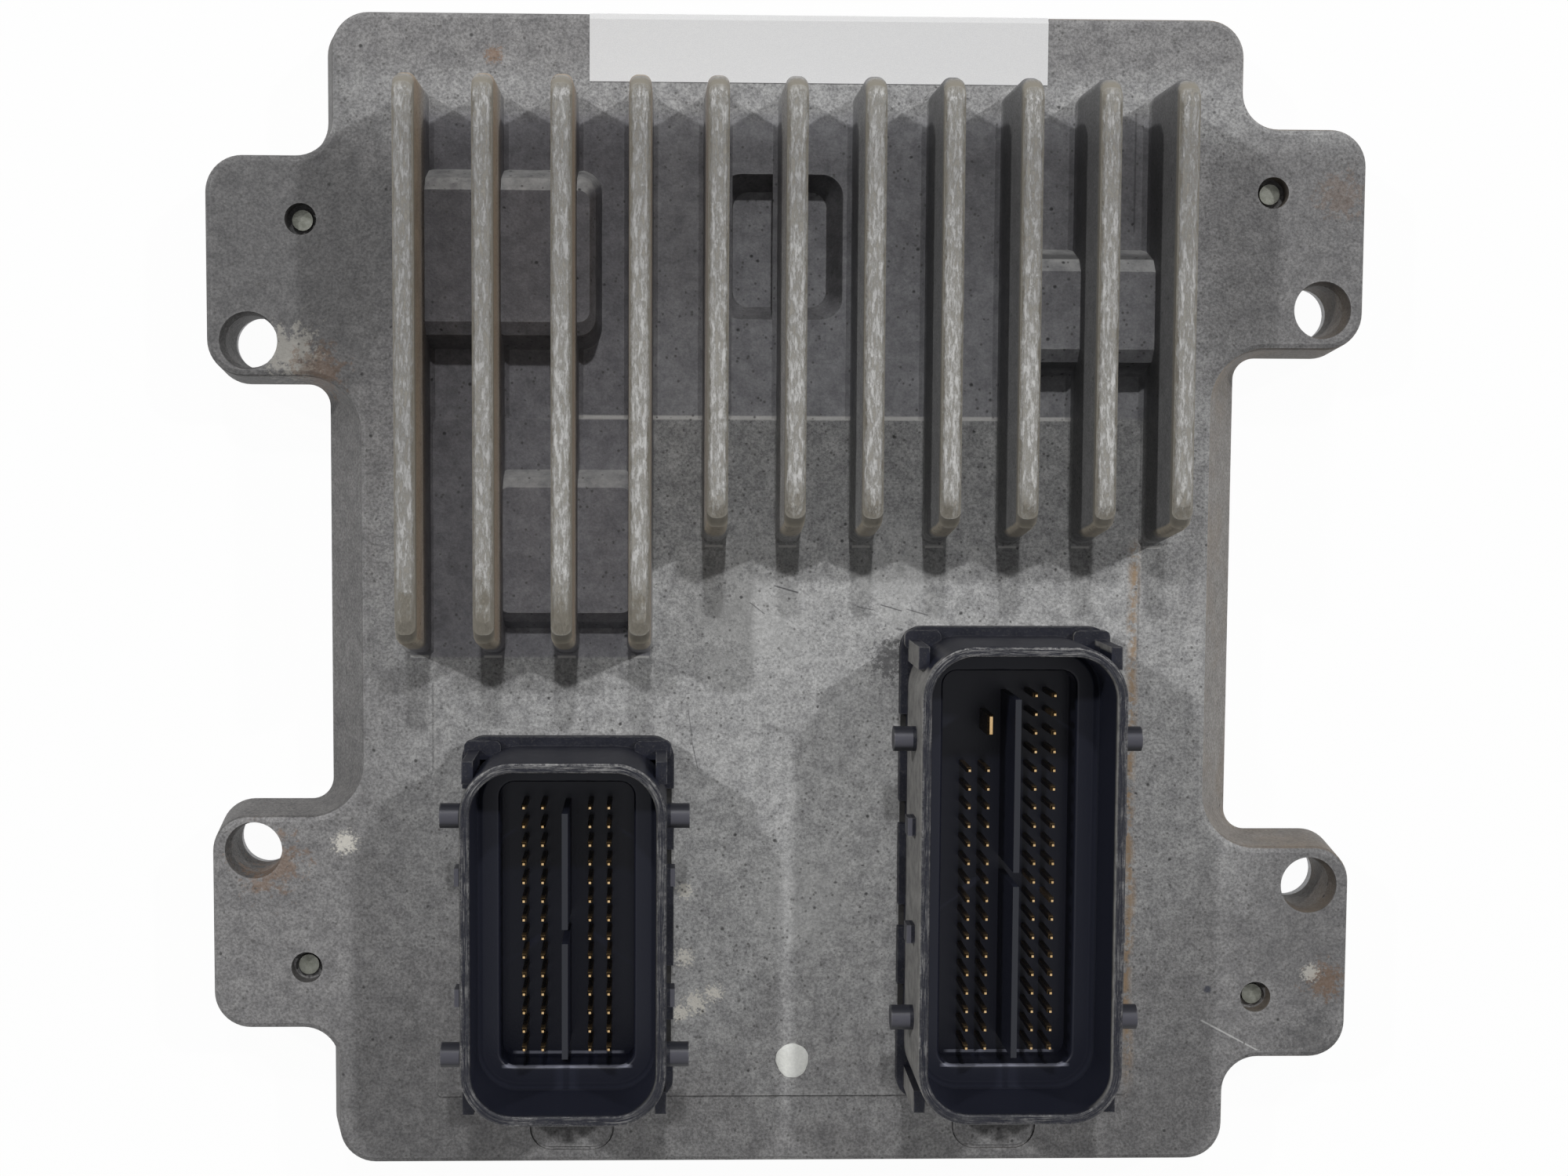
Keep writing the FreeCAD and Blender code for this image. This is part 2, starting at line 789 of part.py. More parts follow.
def cut_marks(body):
    """Cut the shallow frames in front of the connectors."""
    reach, groove = size("mark_width") / 2, size("mark_groove")
    frames = new_sketch(body, "cast_marks", size("face_level"))
    for middle in (-size("mark_offset"), size("mark_offset")):
        for inset in (Size(0.0, "0"), groove):
            half = reach - inset
            rounded_box(frames, middle - half, middle + half, -size("mark_front") + inset,
                        -size("mark_back") - inset, size("mark_corner") - inset)
    pocket(body, frames, size("mark_depth"))


def drill_ears(body):
    """Cut the mounting holes with their wide mouths and the tapped holes of the cover screws."""
    level = size("face_level")
    bolts = new_sketch(body, "bolt_holes", level)
    circles(bolts, bolt_places(), size("bolt_hole"))
    pocket(body, bolts)
    mouths = new_sketch(body, "bolt_mouths", level)
    circles(mouths, bolt_places(), size("bolt_mouth"))
    depth = size("bolt_mouth_depth")
    pocket(body, mouths, depth, taper=-size("bolt_mouth_angle"))
    taps = new_sketch(body, "tapped_holes", level)
    circles(taps, screw_places(), size("screw_thread") + size("screw_clearance"))
    pocket(body, taps)
    reliefs = new_sketch(body, "tapped_hole_reliefs", level)
    circles(reliefs, screw_places(), size("screw_relief"))
    pocket(body, reliefs, size("screw_relief_depth"))


def board_top():
    """Return the level of the circuit board's upper face."""
    return size("board_bottom") + size("board_thickness")


def make_housing(doc):
    """Model the finned casting."""
    body = new_body(doc, "housing")
    casting_block(body)
    drill_ears(body)
    hollow_casting(body)
    add_inner_forms(body)
    raised_field(body)
    for name, height, run in RAISED_POCKETS:
        tapered_boss(body, name, size(run), size("pocket_side_run"), size("pocket_corner"),
                     height=size(height))
    tapered_boss(body, "sunk", size("sunk_run"), size("sunk_run"), size("pocket_corner"),
                 depth=size("sunk_depth"))
    cut_windows(body)
    cut_marks(body)
    fin_row(body, "long_fin", 0, size("long_fin_count"), -size("long_fin_front"))
    fin_row(body, "short_fin", size("long_fin_count"), size("fin_count") - size("long_fin_count"),
            size("short_fin_front"))
    for name, height, run in RAISED_POCKETS:
        hollow_boss(body, name, size(height), size(run))
    return body


def connector_base():
    """Return the level that a connector's flange stands on."""
    return size("face_level") + size("field_height") + size("seal_thickness")


def make_pins(doc, label, side, reach):
    """Model the two columns of pins that stand at one distance either side of a connector's rib."""
    body = new_body(doc, label)
    x, _ = connector_middle(side)
    rows = size(f"{side}_rows")
    short = rows - size("missing_rows") if side == "right" else rows
    pin_column(body, f"{label}_first", x - reach, short)
    pin_column(body, f"{label}_second", x + reach, rows)
    return body


def pin_column(body, name, x, count):
    """Loft one pin with pointed ends at the bottom row and repeat it up its column."""
    full, tip, taper = size("pin_size") / 2, size("pin_tip_size") / 2, size("pin_taper")
    low, high = pin_bottom(), size("pin_level")
    y = -size("bottom_row")
    sketches = []
    for index, (level, half) in enumerate(((low, tip), (low + taper, full), (high - taper, full), (high, tip))):
        sketch = new_sketch(body, f"{name}_section_{index}", level)
        sharp_box(sketch, x - half, x + half, y - half, y + half)
        sketches.append(sketch)
    feature = loft(body, sketches[0], sketches[1:])
    pattern = body.newObject("PartDesign::LinearPattern", f"{name}_pattern")
    pattern.Originals = [feature]
    pattern.Refine = False
    pattern.Direction = (sketches[0], ["V_Axis"])
    bind(pattern, "Length", (count - 1) * size("pin_pitch"))
    bind(pattern, "Occurrences", count)
    body.Tip = pattern
    body.Document.recompute()


def pin_bottom():
    """Return the level of the lower pin ends, under the board."""
    return size("board_bottom") - size("pin_tail")


def make_blade(doc):
    """Model the wide power terminal of the right connector."""
    body = new_body(doc, "power_blade")
    x, y = connector_middle("right")
    x, y = x - size("blade_offset"), y + size("blade_row")
    taper = size("pin_taper")
    low, high = pin_bottom(), size("pin_level")
    sketches = []
    for index, (level, trim) in enumerate(((low, 0), (high - taper, 0), (high, size("blade_thickness") / 4))):
        sketch = new_sketch(body, f"blade_section_{index}", level)
        half, reach = size("blade_thickness") / 2 - trim, size("blade_width") / 2 - trim
        sharp_box(sketch, x - half, x + half, y - reach, y + reach)
        sketches.append(sketch)
    loft(body, sketches[0], sketches[1:])
    return body


def make_shell(doc, side, pins):
    """Model a connector shell round its pins, in its own frame with Z from the flange's underside."""
    x, y = connector_middle(side)
    body = new_body(doc, f"{side}_shell_body", x, y, connector_base())
    half, reach = size("shell_width") / 2, shell_length(side) / 2
    corner, wall = size("shell_corner"), size("shell_wall")
    step(body, "flange", 0, half + size("flange_overhang"), reach + size("flange_end"),
         size("flange_corner"), size("flange_thickness"))
    step(body, "shroud", 0, half, reach, corner, size("shell_height"))
    add_corner_forms(body, half, reach)
    inset = size("plug_inset")
    step(body, "plug", 0, half - inset, reach - inset, size("plug_corner"), size("plug_depth"), down=True)
    add_latches(body, side, half)
    mouth = size("shell_height") - size("ledge_depth")
    hollow(body, "mouth", mouth, half - wall, reach - wall, corner - wall, size("ledge_depth"))
    shelf = wall + size("ledge_width")
    hollow(body, "recess", 0, half - shelf, reach - shelf, size("recess_corner"), mouth)
    for level in (size("shell_height"), mouth):
        round_edges(body, size("rim_rounding"), level)
    below, lip = size("plug_depth") - size("floor_thickness"), inset + size("plug_wall")
    hollow(body, "underside", -size("plug_depth"), half - lip, reach - lip, size("plug_corner"), below)
    add_rib(body, side)
    fitted = doc.addObject("Part::Cut", f"{side}_connector_shell")
    fitted.Label = f"{side}_connector_shell"
    fitted.Base = body
    fitted.Tool = pins
    doc.recompute()
    return fitted


def step(body, name, level, half, reach, corner, height, down=False):
    """Pad a rounded rectangle centred on the body."""
    sketch = new_sketch(body, name, level)
    rounded_box(sketch, -half, half, -reach, reach, corner)
    pad(body, sketch, height, down=down)


def hollow(body, name, level, half, reach, corner, height):
    """Cut a rounded rectangle centred on the body, from a level upwards."""
    sketch = new_sketch(body, name, level)
    rounded_box(sketch, -half, half, -reach, reach, corner)
    pocket(body, sketch, height, up=True)


def add_corner_forms(body, half, reach):
    """Add the guide ribs at the four corners of a shell and the pads on two corners of its flange."""
    ribs = new_sketch(body, "corner_ribs")
    width, inset = size("corner_rib_width"), size("corner_rib_inset")
    far = reach - inset
    near = far - size("corner_rib_length")
    for x_low, x_high in ((-half, width - half), (half - width, half)):
        for y_low, y_high in ((-far, -near), (near, far)):
            sharp_box(ribs, x_low, x_high, y_low, y_high)
    pad(body, ribs, size("corner_rib_height"))
    pads = new_sketch(body, "corner_pads", size("flange_thickness"))
    edge, end = half + size("flange_overhang") - inset, reach + size("flange_end") - inset
    length, depth = size("corner_pad_length"), size("corner_pad_width")
    for x_low, x_high in ((-edge, length - edge), (edge - length, edge)):
        rounded_box(pads, x_low, x_high, end - depth, end, depth / 3)
    pad(body, pads, size("corner_pad_height"))


def add_latches(body, side, half):
    """Add the lever pegs and the tabs on both long walls and notch the flange under them."""
    peg_place, tab_place = size(f"{side}_peg_spacing") / 2, size(f"{side}_tab_spacing") / 2
    level = size("peg_level")
    pegs = new_sketch(body, "pegs", plane="YZ_Plane")
    circles(pegs, [(-peg_place, level), (peg_place, level)], size("peg_size"))
    pad(body, pegs, (half + size("peg_reach")) * 2, both=True)
    tabs = new_sketch(body, "tabs", plane="YZ_Plane")
    tab, rise = size("tab_length") / 2, size("tab_height") / 2
    for place in (-tab_place, tab_place):
        sharp_box(tabs, place - tab, place + tab, level - rise, level + rise)
    pad(body, tabs, (half + size("tab_reach")) * 2, both=True)
    notches = new_sketch(body, "notches")
    slack = size("notch_slack")
    for place, width in ((peg_place, size("peg_size") / 2 + slack), (tab_place, tab + slack)):
        for middle in (-place, place):
            for x_low, x_high in ((-half - size("peg_reach"), -half), (half, half + size("peg_reach"))):
                sharp_box(notches, x_low, x_high, middle - width, middle + width)
    pocket(body, notches, size("flange_thickness"), up=True)


def add_rib(body, side):
    """Add the rib between the pin columns, with its gap."""
    half, reach = size("rib_width") / 2, (size(f"{side}_rows") - 1) * size("pin_pitch") / 2
    gap = size("rib_gap") / 2
    rib = new_sketch(body, "rib")
    sharp_box(rib, -half, half, -reach, -gap)
    sharp_box(rib, -half, half, gap, reach)
    pad(body, rib, size("rib_height"))


def make_seal(doc, side):
    """Model the seal between a connector's flange and the casting."""
    body = new_body(doc, f"{side}_connector_seal")
    x, y = connector_middle(side)
    slack = size("seal_slack")
    half = size("shell_width") / 2 + size("flange_overhang") - slack
    reach = shell_length(side) / 2 + size("flange_end") - slack
    ring = new_sketch(body, f"{side}_seal_ring", size("face_level") + size("field_height"))
    rounded_box(ring, x - half, x + half, y - reach, y + reach, size("flange_corner") - slack)
    window_box(ring, side, size("plug_clearance") + slack)
    pad(body, ring, size("seal_thickness"))
    return body


def make_cover(doc):
    """Model the plate that closes the casting from below."""
    body = new_body(doc, "cover_plate")
    outline = new_sketch(body, "cover_outline")
    unit_outline(outline, 0, size("cover_inset"))
    pad(body, outline, size("cover_thickness"))
    bolts = new_sketch(body, "cover_bolt_holes")
    circles(bolts, bolt_places(), size("bolt_hole") + size("cover_bolt_slack"))
    pocket(body, bolts)
    holes = new_sketch(body, "cover_screw_holes")
    circles(holes, screw_places(), size("screw_thread") + size("cover_screw_slack"))
    pocket(body, holes)
    seats = new_sketch(body, "cover_screw_seats")
    circles(seats, screw_places(), size("screw_head") + size("cover_screw_slack"))
    pocket(body, seats, size("screw_head_depth"), up=True)
    return body


def make_gasket(doc):
    """Model the cover gasket."""
    body = new_body(doc, "cover_gasket")
    ring = new_sketch(body, "gasket_section", size("cover_thickness"))
    gasket_ring(ring, Size(0.0, "0"))
    pad(body, ring, size("gasket_height"))
    return body


def make_screws(doc, label, places, head, shank, socket):
    """Model a set of equal screws that stand head down.

    head, shank and socket each give a diameter, the level they start from and their height.
    """
    body = new_body(doc, label)
    for name, (diameter, level, height) in (("heads", head), ("shanks", shank)):
        sketch = new_sketch(body, f"{label}_{name}", level)
        circles(sketch, places, diameter)
        pad(body, sketch, height)
    diameter, level, height = socket
    sketch = new_sketch(body, f"{label}_sockets", level)
    circles(sketch, places, diameter)
    pocket(body, sketch, height, up=True)
    return body


def make_cover_screws(doc):
    """Model the four screws that hold the cover, their tips just below the face of the ears."""
    depth = size("screw_head_depth")
    length = size("face_level") - size("screw_tip_depth") - depth
    return make_screws(doc, "cover_screws", screw_places(),
                       (size("screw_head"), Size(0.0, "0"), depth),
                       (size("screw_thread"), depth, length),
                       (size("screw_socket"), Size(0.0, "0"), size("screw_socket_depth")))


def make_board_screws(doc):
    """Model the six screws that hold the board to its posts."""
    bottom = size("board_bottom") - size("board_screw_head_height")
    return make_screws(doc, "board_screws", post_places(),
                       (size("board_screw_head"), bottom, size("board_screw_head_height")),
                       (size("board_screw_thread"), size("board_bottom"), size("board_screw_length")),
                       (size("board_screw_socket"), bottom, size("board_screw_socket_depth")))


def make_board(doc, pins):
    """Model the circuit board with its screw holes, fitted round the pins."""
    body = new_body(doc, "board_body")
    outline = new_sketch(body, "board_outline", size("board_bottom"))
    centred_box(outline, size("board_width"), size("board_length"), size("board_corner"))
    pad(body, outline, size("board_thickness"))
    holes = new_sketch(body, "board_holes", size("board_bottom"))
    circles(holes, post_places(), size("board_screw_hole"))
    pocket(body, holes)
    fitted = doc.addObject("Part::Cut", "circuit_board")
    fitted.Label = "circuit_board"
    fitted.Base = body
    fitted.Tool = pins
    doc.recompute()
    return fitted


def make_label(doc):
    """Model the paper label that lies behind the fins and folds down over the edge."""
    body = new_body(doc, "paper_label")
    sketch = new_sketch(body, "label_section", size("label_middle"), "YZ_Plane")
    level, rounding, thick = size("face_level"), size("face_rounding"), size("label_thickness")
    edge = size("body_length") / 2 - size("wall_lean")
    slope = size("wall_lean") / (level - rounding - size("cover_thickness"))
    share = rounding * SLOPE_SHARE
    drop = size("label_drop")
    inside = [(size("fin_back") + size("label_gap"), level), (edge - rounding, level),
              (edge - share, level - share), (edge, level - rounding), (edge + slope * (drop - rounding), level - drop)]
    outside = [(inside[4][0] + thick, inside[4][1]), (edge + thick, level - rounding),
               (edge - share + thick, level - share + thick), (edge - rounding, level + thick),
               (inside[0][0], level + thick)]
    closed_path(sketch, inside + outside)
    pad(body, sketch, size("label_width"), both=True)
    return body


def closed_path(sketch, places):
    """Draw a closed run of straight lines through bound places."""
    count = len(places)
    ends = [point((number_of(x), number_of(y))) for x, y in places]
    sketch.addGeometry([Part.LineSegment(ends[i], ends[(i + 1) % count]) for i in range(count)])
    rules = []
    for index, (x, y) in enumerate(places):
        rules.append(("Coincident", (index, 2, (index + 1) % count, 1), None))
        rules.append(at_distance(index, 1, x, "DistanceX"))
        rules.append(at_distance(index, 1, y, "DistanceY"))
    constrain(sketch, rules)


def group(doc, label, members):
    """Gather like pieces under one label."""
    item = doc.addObject("Part::Compound", label)
    item.Label = label
    item.Links = members
    doc.recompute()
    return item


def chip(doc, name, x, y, level, part):
    """Return a block on a level, centred on a place, sized by the sheet's entries for its kind."""
    item = doc.addObject("Part::Box", name)
    width, length = size(f"{part}_width"), size(f"{part}_length")
    bind(item, "Length", width)
    bind(item, "Width", length)
    bind(item, "Height", size(f"{part}_height"))
    bind(item, "Placement.Base.x", x - width / 2)
    bind(item, "Placement.Base.y", y - length / 2)
    bind(item, "Placement.Base.z", level)
    return item


def can(doc, name, x, y, level, part):
    """Return an upright cylinder on a level, sized by the sheet's entries for its kind."""
    item = doc.addObject("Part::Cylinder", name)
    bind(item, "Radius", size(f"{part}_diameter") / 2)
    bind(item, "Height", size(f"{part}_height"))
    for axis, value in zip("xyz", (x, y, level)):
        bind(item, f"Placement.Base.{axis}", value)
    return item


def grid(part, columns, rows, x, y):
    """Return the places of a grid of equal parts about a middle, spaced by the sheet's pitches."""
    across, along = size(f"{part}_pitch"), size(f"{part}_row_pitch")
    return [(x + across * (column - (columns - 1) / 2), y + along * (row - (rows - 1) / 2))
            for row in range(rows) for column in range(columns)]


def fill(doc, label, part, places, make=chip, level=None):
    """Make one kind of part at each of its places, as one piece of the parts list."""
    height = board_top() if level is None else level
    members = [make(doc, f"{label}_{index}", x, y, height, part) for index, (x, y) in enumerate(places)]
    return group(doc, label, members)


def pocket_middle(name):
    """Return the middle of a raised or sunk pocket."""
    return ((size(f"{name}_left") + size(f"{name}_right")) / 2,
            (size(f"{name}_front") + size(f"{name}_back")) / 2)


def make_electronics(doc):
    """Make the parts that stand on the board."""
    middle = Size(0.0, "0")
    made = [
        fill(doc, "processor", "processor", [(middle, -size("processor_place"))]),
        fill(doc, "flash_memory", "memory", [(middle, -size("memory_place"))]),
        fill(doc, "crystal", "crystal", [(middle, -size("crystal_place"))]),
        fill(doc, "electrolytic_capacitors", "electrolytic",
             grid("electrolytic", 2, 2, *pocket_middle("capacitor")), make=can),
        fill(doc, "power_inductor", "coil", [pocket_middle("inductor")]),
        fill(doc, "input_choke", "choke_core", [pocket_middle("choke")]),
        fill(doc, "ceramic_capacitors", "ceramic", grid("ceramic", 6, 2, middle, -size("ceramic_place"))),
        fill(doc, "chip_resistors", "resistor", grid("resistor", 4, 4, size("resistor_offset"),
                                                     size("resistor_place"))),
        fill(doc, "network_transceivers", "transceiver",
             grid("transceiver", 2, 1, middle, -size("transceiver_place"))),
        fill(doc, "ignition_drivers", "igniter", grid("igniter", 4, 1, middle, size("igniter_place"))),
        fill(doc, "surge_diode", "diode", [(size("diode_offset"), size("diode_place"))]),
    ]
    drivers = [(-size("outer_driver_offset"), size("driver_place")),
               (-size("inner_driver_offset"), size("driver_place")),
               (size("inner_driver_offset"), size("driver_place")),
               (size("outer_driver_offset"), size("last_driver_place"))]
    made.append(fill(doc, "driver_chips", "driver", drivers))
    made.append(fill(doc, "thermal_pads", "heat_pad", drivers, level=board_top() + size("driver_height")))
    regulator = [pocket_middle("sunk")]
    made.append(fill(doc, "power_regulator", "regulator", regulator))
    made.append(fill(doc, "regulator_pad", "regulator_pad", regulator,
                     level=board_top() + size("regulator_height")))
    return made


def make_unit(doc):
    """Make every piece of the unit and return them all."""
    housing = make_housing(doc)
    inner = size("pin_aisle") / 2
    outer = inner + size("pin_pitch")
    pins = {}
    for side in ("left", "right"):
        pins[side] = [make_pins(doc, f"{side}_outer_pins", side, outer),
                      make_pins(doc, f"{side}_inner_pins", side, inner)]
    blade = make_blade(doc)
    left_set = group(doc, "left_pin_set", pins["left"])
    right_set = group(doc, "right_pin_set", pins["right"] + [blade])
    every_pin = group(doc, "all_pins", [left_set, right_set])
    parts = [housing, make_cover(doc), make_gasket(doc), make_cover_screws(doc), make_label(doc),
             make_seal(doc, "left"), make_seal(doc, "right"),
             make_shell(doc, "left", left_set), make_shell(doc, "right", right_set),
             *pins["left"], *pins["right"], blade,
             make_board(doc, every_pin), make_board_screws(doc)]
    return parts + make_electronics(doc)


def check(doc, parts):
    """Stop where an object failed or where a piece is empty or unsound."""
    for item in doc.Objects:
        if "Invalid" in item.State or "Error" in item.State:
            raise RuntimeError(f"{item.Label} is in state {item.State}")
    for part in parts:
        if part.Shape.isNull() or not part.Shape.isValid() or not part.Shape.Solids:
            raise RuntimeError(f"{part.Label} has no sound solid")


def main():
    """Build the unit and write one file for each piece."""
    doc = FreeCAD.newDocument("engine_control_unit")
    make_sheet(doc)
    parts = make_unit(doc)
    doc.recompute()
    check(doc, parts)
    os.makedirs("parts", exist_ok=True)
    for part in parts:
        part.Shape.exportStep(f"parts/{part.Label}.step")


main()
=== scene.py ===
"""Engine control unit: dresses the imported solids, adds the small pieces and sets up the studio."""
import logging
import math
import random
from dataclasses import dataclass, replace
from enum import Enum
from functools import cache, reduce

import bpy
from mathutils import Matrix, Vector


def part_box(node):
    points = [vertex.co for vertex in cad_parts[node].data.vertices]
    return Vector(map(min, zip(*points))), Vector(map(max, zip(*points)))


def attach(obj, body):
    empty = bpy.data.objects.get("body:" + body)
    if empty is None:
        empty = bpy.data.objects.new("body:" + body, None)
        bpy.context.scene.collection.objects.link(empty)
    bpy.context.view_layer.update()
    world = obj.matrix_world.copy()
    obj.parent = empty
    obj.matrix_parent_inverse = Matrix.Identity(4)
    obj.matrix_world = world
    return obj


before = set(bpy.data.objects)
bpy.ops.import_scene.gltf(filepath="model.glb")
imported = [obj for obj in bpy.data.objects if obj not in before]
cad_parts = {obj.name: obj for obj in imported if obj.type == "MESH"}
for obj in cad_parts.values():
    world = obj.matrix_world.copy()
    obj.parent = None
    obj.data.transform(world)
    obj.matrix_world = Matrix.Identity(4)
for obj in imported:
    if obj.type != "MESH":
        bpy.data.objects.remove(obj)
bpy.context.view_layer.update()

LOG = logging.getLogger("engine_control_unit")

MM = 0.001
ROOT = "root"
Colour = tuple[float, float, float]
Socket = bpy.types.NodeSocket
Sockets = bpy.types.NodeOutputs

# Places of the casting, in millimetres in the row frame
FACE_LEVEL = 12.0
FIELD_LEVEL = 12.4
POCKET_LEVEL = 19.0
FIN_TOP = 28.4
FIN_PITCH = 10.1
FIN_REACH = 51.0
LONG_FINS_END = -17.0
SHORT_FIN_FOOT = 7.3
LONG_FIN_FOOT = -8.0
STEP_PLACE = 24.7
RUST_LINE = 49.2


class Blend(Enum):
    """How one colour is laid over another."""

    OVER = "MIX"
    TINT = "MULTIPLY"


class Side(Enum):
    """Which of the two connectors."""

    LEFT = "left"
    RIGHT = "right"


class Graph:
    """Adds nodes to one node tree and joins them up."""

    def __init__(self, tree: bpy.types.NodeTree) -> None:
        """Take hold of the node tree of a material, a world or a group."""
        self.tree = tree

    def add(self, kind: str, inputs: dict | None = None, **settings: object) -> bpy.types.Node:
        """Add a node.

        Args:
            kind: Blender's name for the node's type.
            inputs: values or sockets, by the input's name or number.
            settings: properties of the node itself.

        Returns:
            The new node.
        """
        node = self.tree.nodes.new(kind)
        for name, value in settings.items():
            setattr(node, name, value)
        for key, value in (inputs or {}).items():
            self.feed(node.inputs[key], value)
        return node

    def feed(self, socket: Socket, value: object) -> None:
        """Join a socket to an input, or set the input's own value.

        Args:
            socket: the input.
            value: an output socket, a number, a vector or a colour.
        """
        if isinstance(value, Socket):
            self.tree.links.new(value, socket)
        elif socket.type == "RGBA":
            socket.default_value = (*value, 1.0)
        else:
            socket.default_value = value

    def math(self, operation: str, *values: object, clamp: bool = False) -> Socket:
        """Return what Blender's operation of that name makes of one to three values."""
        node = self.add("ShaderNodeMath", dict(enumerate(values)), operation=operation, use_clamp=clamp)
        return node.outputs[0]

    def times(self, *values: object) -> Socket:
        """Return the product of two or more values."""
        return reduce(lambda product, value: self.math("MULTIPLY", product, value), values)

    def scaled(self, value: object, factor: object, start: object, clamp: bool = False) -> Socket:
        """Return a value times a factor, plus a start."""
        return self.math("MULTIPLY_ADD", value, factor, start, clamp=clamp)

    def apart(self, value: object, middle: object) -> Socket:
        """Return how far a value lies from a middle, to either side."""
        return self.math("ABSOLUTE", self.math("SUBTRACT", value, middle))

    def ramp(self, value: object, low: float, high: float) -> Socket:
        """Return a smooth step from nought at low to one at high.

        Args:
            value: the socket to read.
            low: where the step starts.
            high: where it ends. Below low, the step falls.

        Returns:
            The step's socket.
        """
        ends = (0.0, 1.0) if high > low else (1.0, 0.0)
        node = self.add("ShaderNodeMapRange", {
            "Value": value, "From Min": min(low, high), "From Max": max(low, high),
            "To Min": ends[0], "To Max": ends[1]}, interpolation_type="SMOOTHSTEP", clamp=True)
        return node.outputs[0]

    def mix(self, factor: object, under: object, over: object, blend: Blend = Blend.OVER) -> Socket:
        """Return one colour with another laid over it, as far as the factor goes."""
        inputs = {0: factor, 6: under, 7: over}
        return self.add("ShaderNodeMix", inputs, data_type="RGBA", blend_type=blend.value).outputs[2]

    def tint(self, colour: object, by: object, factor: object = 1.0) -> Socket:
        """Return a colour times another, as far as the factor goes."""
        return self.mix(factor, colour, by, Blend.TINT)

    def noise(self, vector: object, scale: object, detail: float = 4.0, roughness: float = 0.55) -> Socket:
        """Return fractal noise about one half, with as many waves to the metre as the scale says."""
        inputs = {"Vector": vector, "Scale": scale, "Detail": detail, "Roughness": roughness}
        return self.add("ShaderNodeTexNoise", inputs).outputs["Fac"]

    def stretched(self, vector: object, scale: tuple[float, float, float]) -> Socket:
        """Return coordinates scaled by axis."""
        return self.add("ShaderNodeMapping", {"Vector": vector, "Scale": scale}).outputs[0]

    def split(self, vector: object) -> Sockets:
        """Return the three parts of a vector."""
        return self.add("ShaderNodeSeparateXYZ", {0: vector}).outputs

    def facing(self) -> Socket:
        """Return the surface normal."""
        return self.add("ShaderNodeNewGeometry").outputs["Normal"]


class Effect:
    """A shared shader effect, built once as a node group.

    Attributes:
        name: the group's name.
        inputs: the default value of each input, or None for a vector.
        outputs: the names of the masks that it gives.
    """

    name: str
    inputs: dict[str, float | None]
    outputs: tuple[str, ...] = ("Mask",)

    def tree(self) -> bpy.types.NodeTree:
        """Build the effect's group the first time.

        Returns:
            The group.
        """
        tree = bpy.data.node_groups.get(self.name)
        if tree is not None:
            return tree
        tree = bpy.data.node_groups.new(self.name, "ShaderNodeTree")
        for name, default in self.inputs.items():
            kind = "NodeSocketVector" if default is None else "NodeSocketFloat"
            socket = tree.interface.new_socket(name, in_out="INPUT", socket_type=kind)
            if default is not None:
                socket.default_value = default
        for name in self.outputs:
            tree.interface.new_socket(name, in_out="OUTPUT", socket_type="NodeSocketFloat")
        graph = Graph(tree)
        masks = self.fill(graph, graph.add("NodeGroupInput").outputs)
        graph.add("NodeGroupOutput", dict(zip(self.outputs, masks)))
        return tree

    def fill(self, graph: Graph, given: Sockets) -> tuple[Socket, ...]:
        """Build the group's inside from its given inputs, and return a socket for each output."""
        raise NotImplementedError


class Mottle(Effect):
    """Fine grain and broad clouds, as a dull cast or moulded surface has."""

    name = "mottle"
    inputs = {"Vector": None, "Grain Size": 0.4 * MM}
    outputs = ("Grain", "Cloud", "Stain")

    def fill(self, graph: Graph, given: Sockets) -> tuple[Socket, ...]:
        """Layer three noises, each with broader waves."""
        waves = graph.math("DIVIDE", 1.0, given["Grain Size"])
        grain = graph.noise(given["Vector"], waves, 3.0, 0.7)
        cloud = graph.noise(given["Vector"], graph.times(waves, 0.15), 6.0, 0.68)
        stain = graph.noise(given["Vector"], graph.times(waves, 0.022), 4.0, 0.65)
        return grain, graph.ramp(cloud, 0.3, 0.7), graph.ramp(stain, 0.42, 0.66)


class Pits(Effect):
    """Small round pits or specks, scattered in loose groups."""

    name = "pits"
    inputs = {"Vector": None, "Spacing": 3 * MM, "Size": 0.16, "Gathering": 0.5}

    def fill(self, graph: Graph, given: Sockets) -> tuple[Socket, ...]:
        """Keep a round spot in those cells that a broad noise picks."""
        waves = graph.math("DIVIDE", 1.0, given["Spacing"])
        cells = graph.add("ShaderNodeTexVoronoi", {
            "Vector": given["Vector"], "Scale": waves, "Randomness": 1.0})
        edge = graph.times(given["Size"], 0.6)
        inside = graph.math("SUBTRACT", given["Size"], cells.outputs["Distance"])
        round_spot = graph.math("DIVIDE", inside, edge, clamp=True)
        groups = graph.noise(given["Vector"], graph.times(waves, 0.35), 2.0)
        return (graph.times(round_spot, graph.math("GREATER_THAN", groups, given["Gathering"])),)


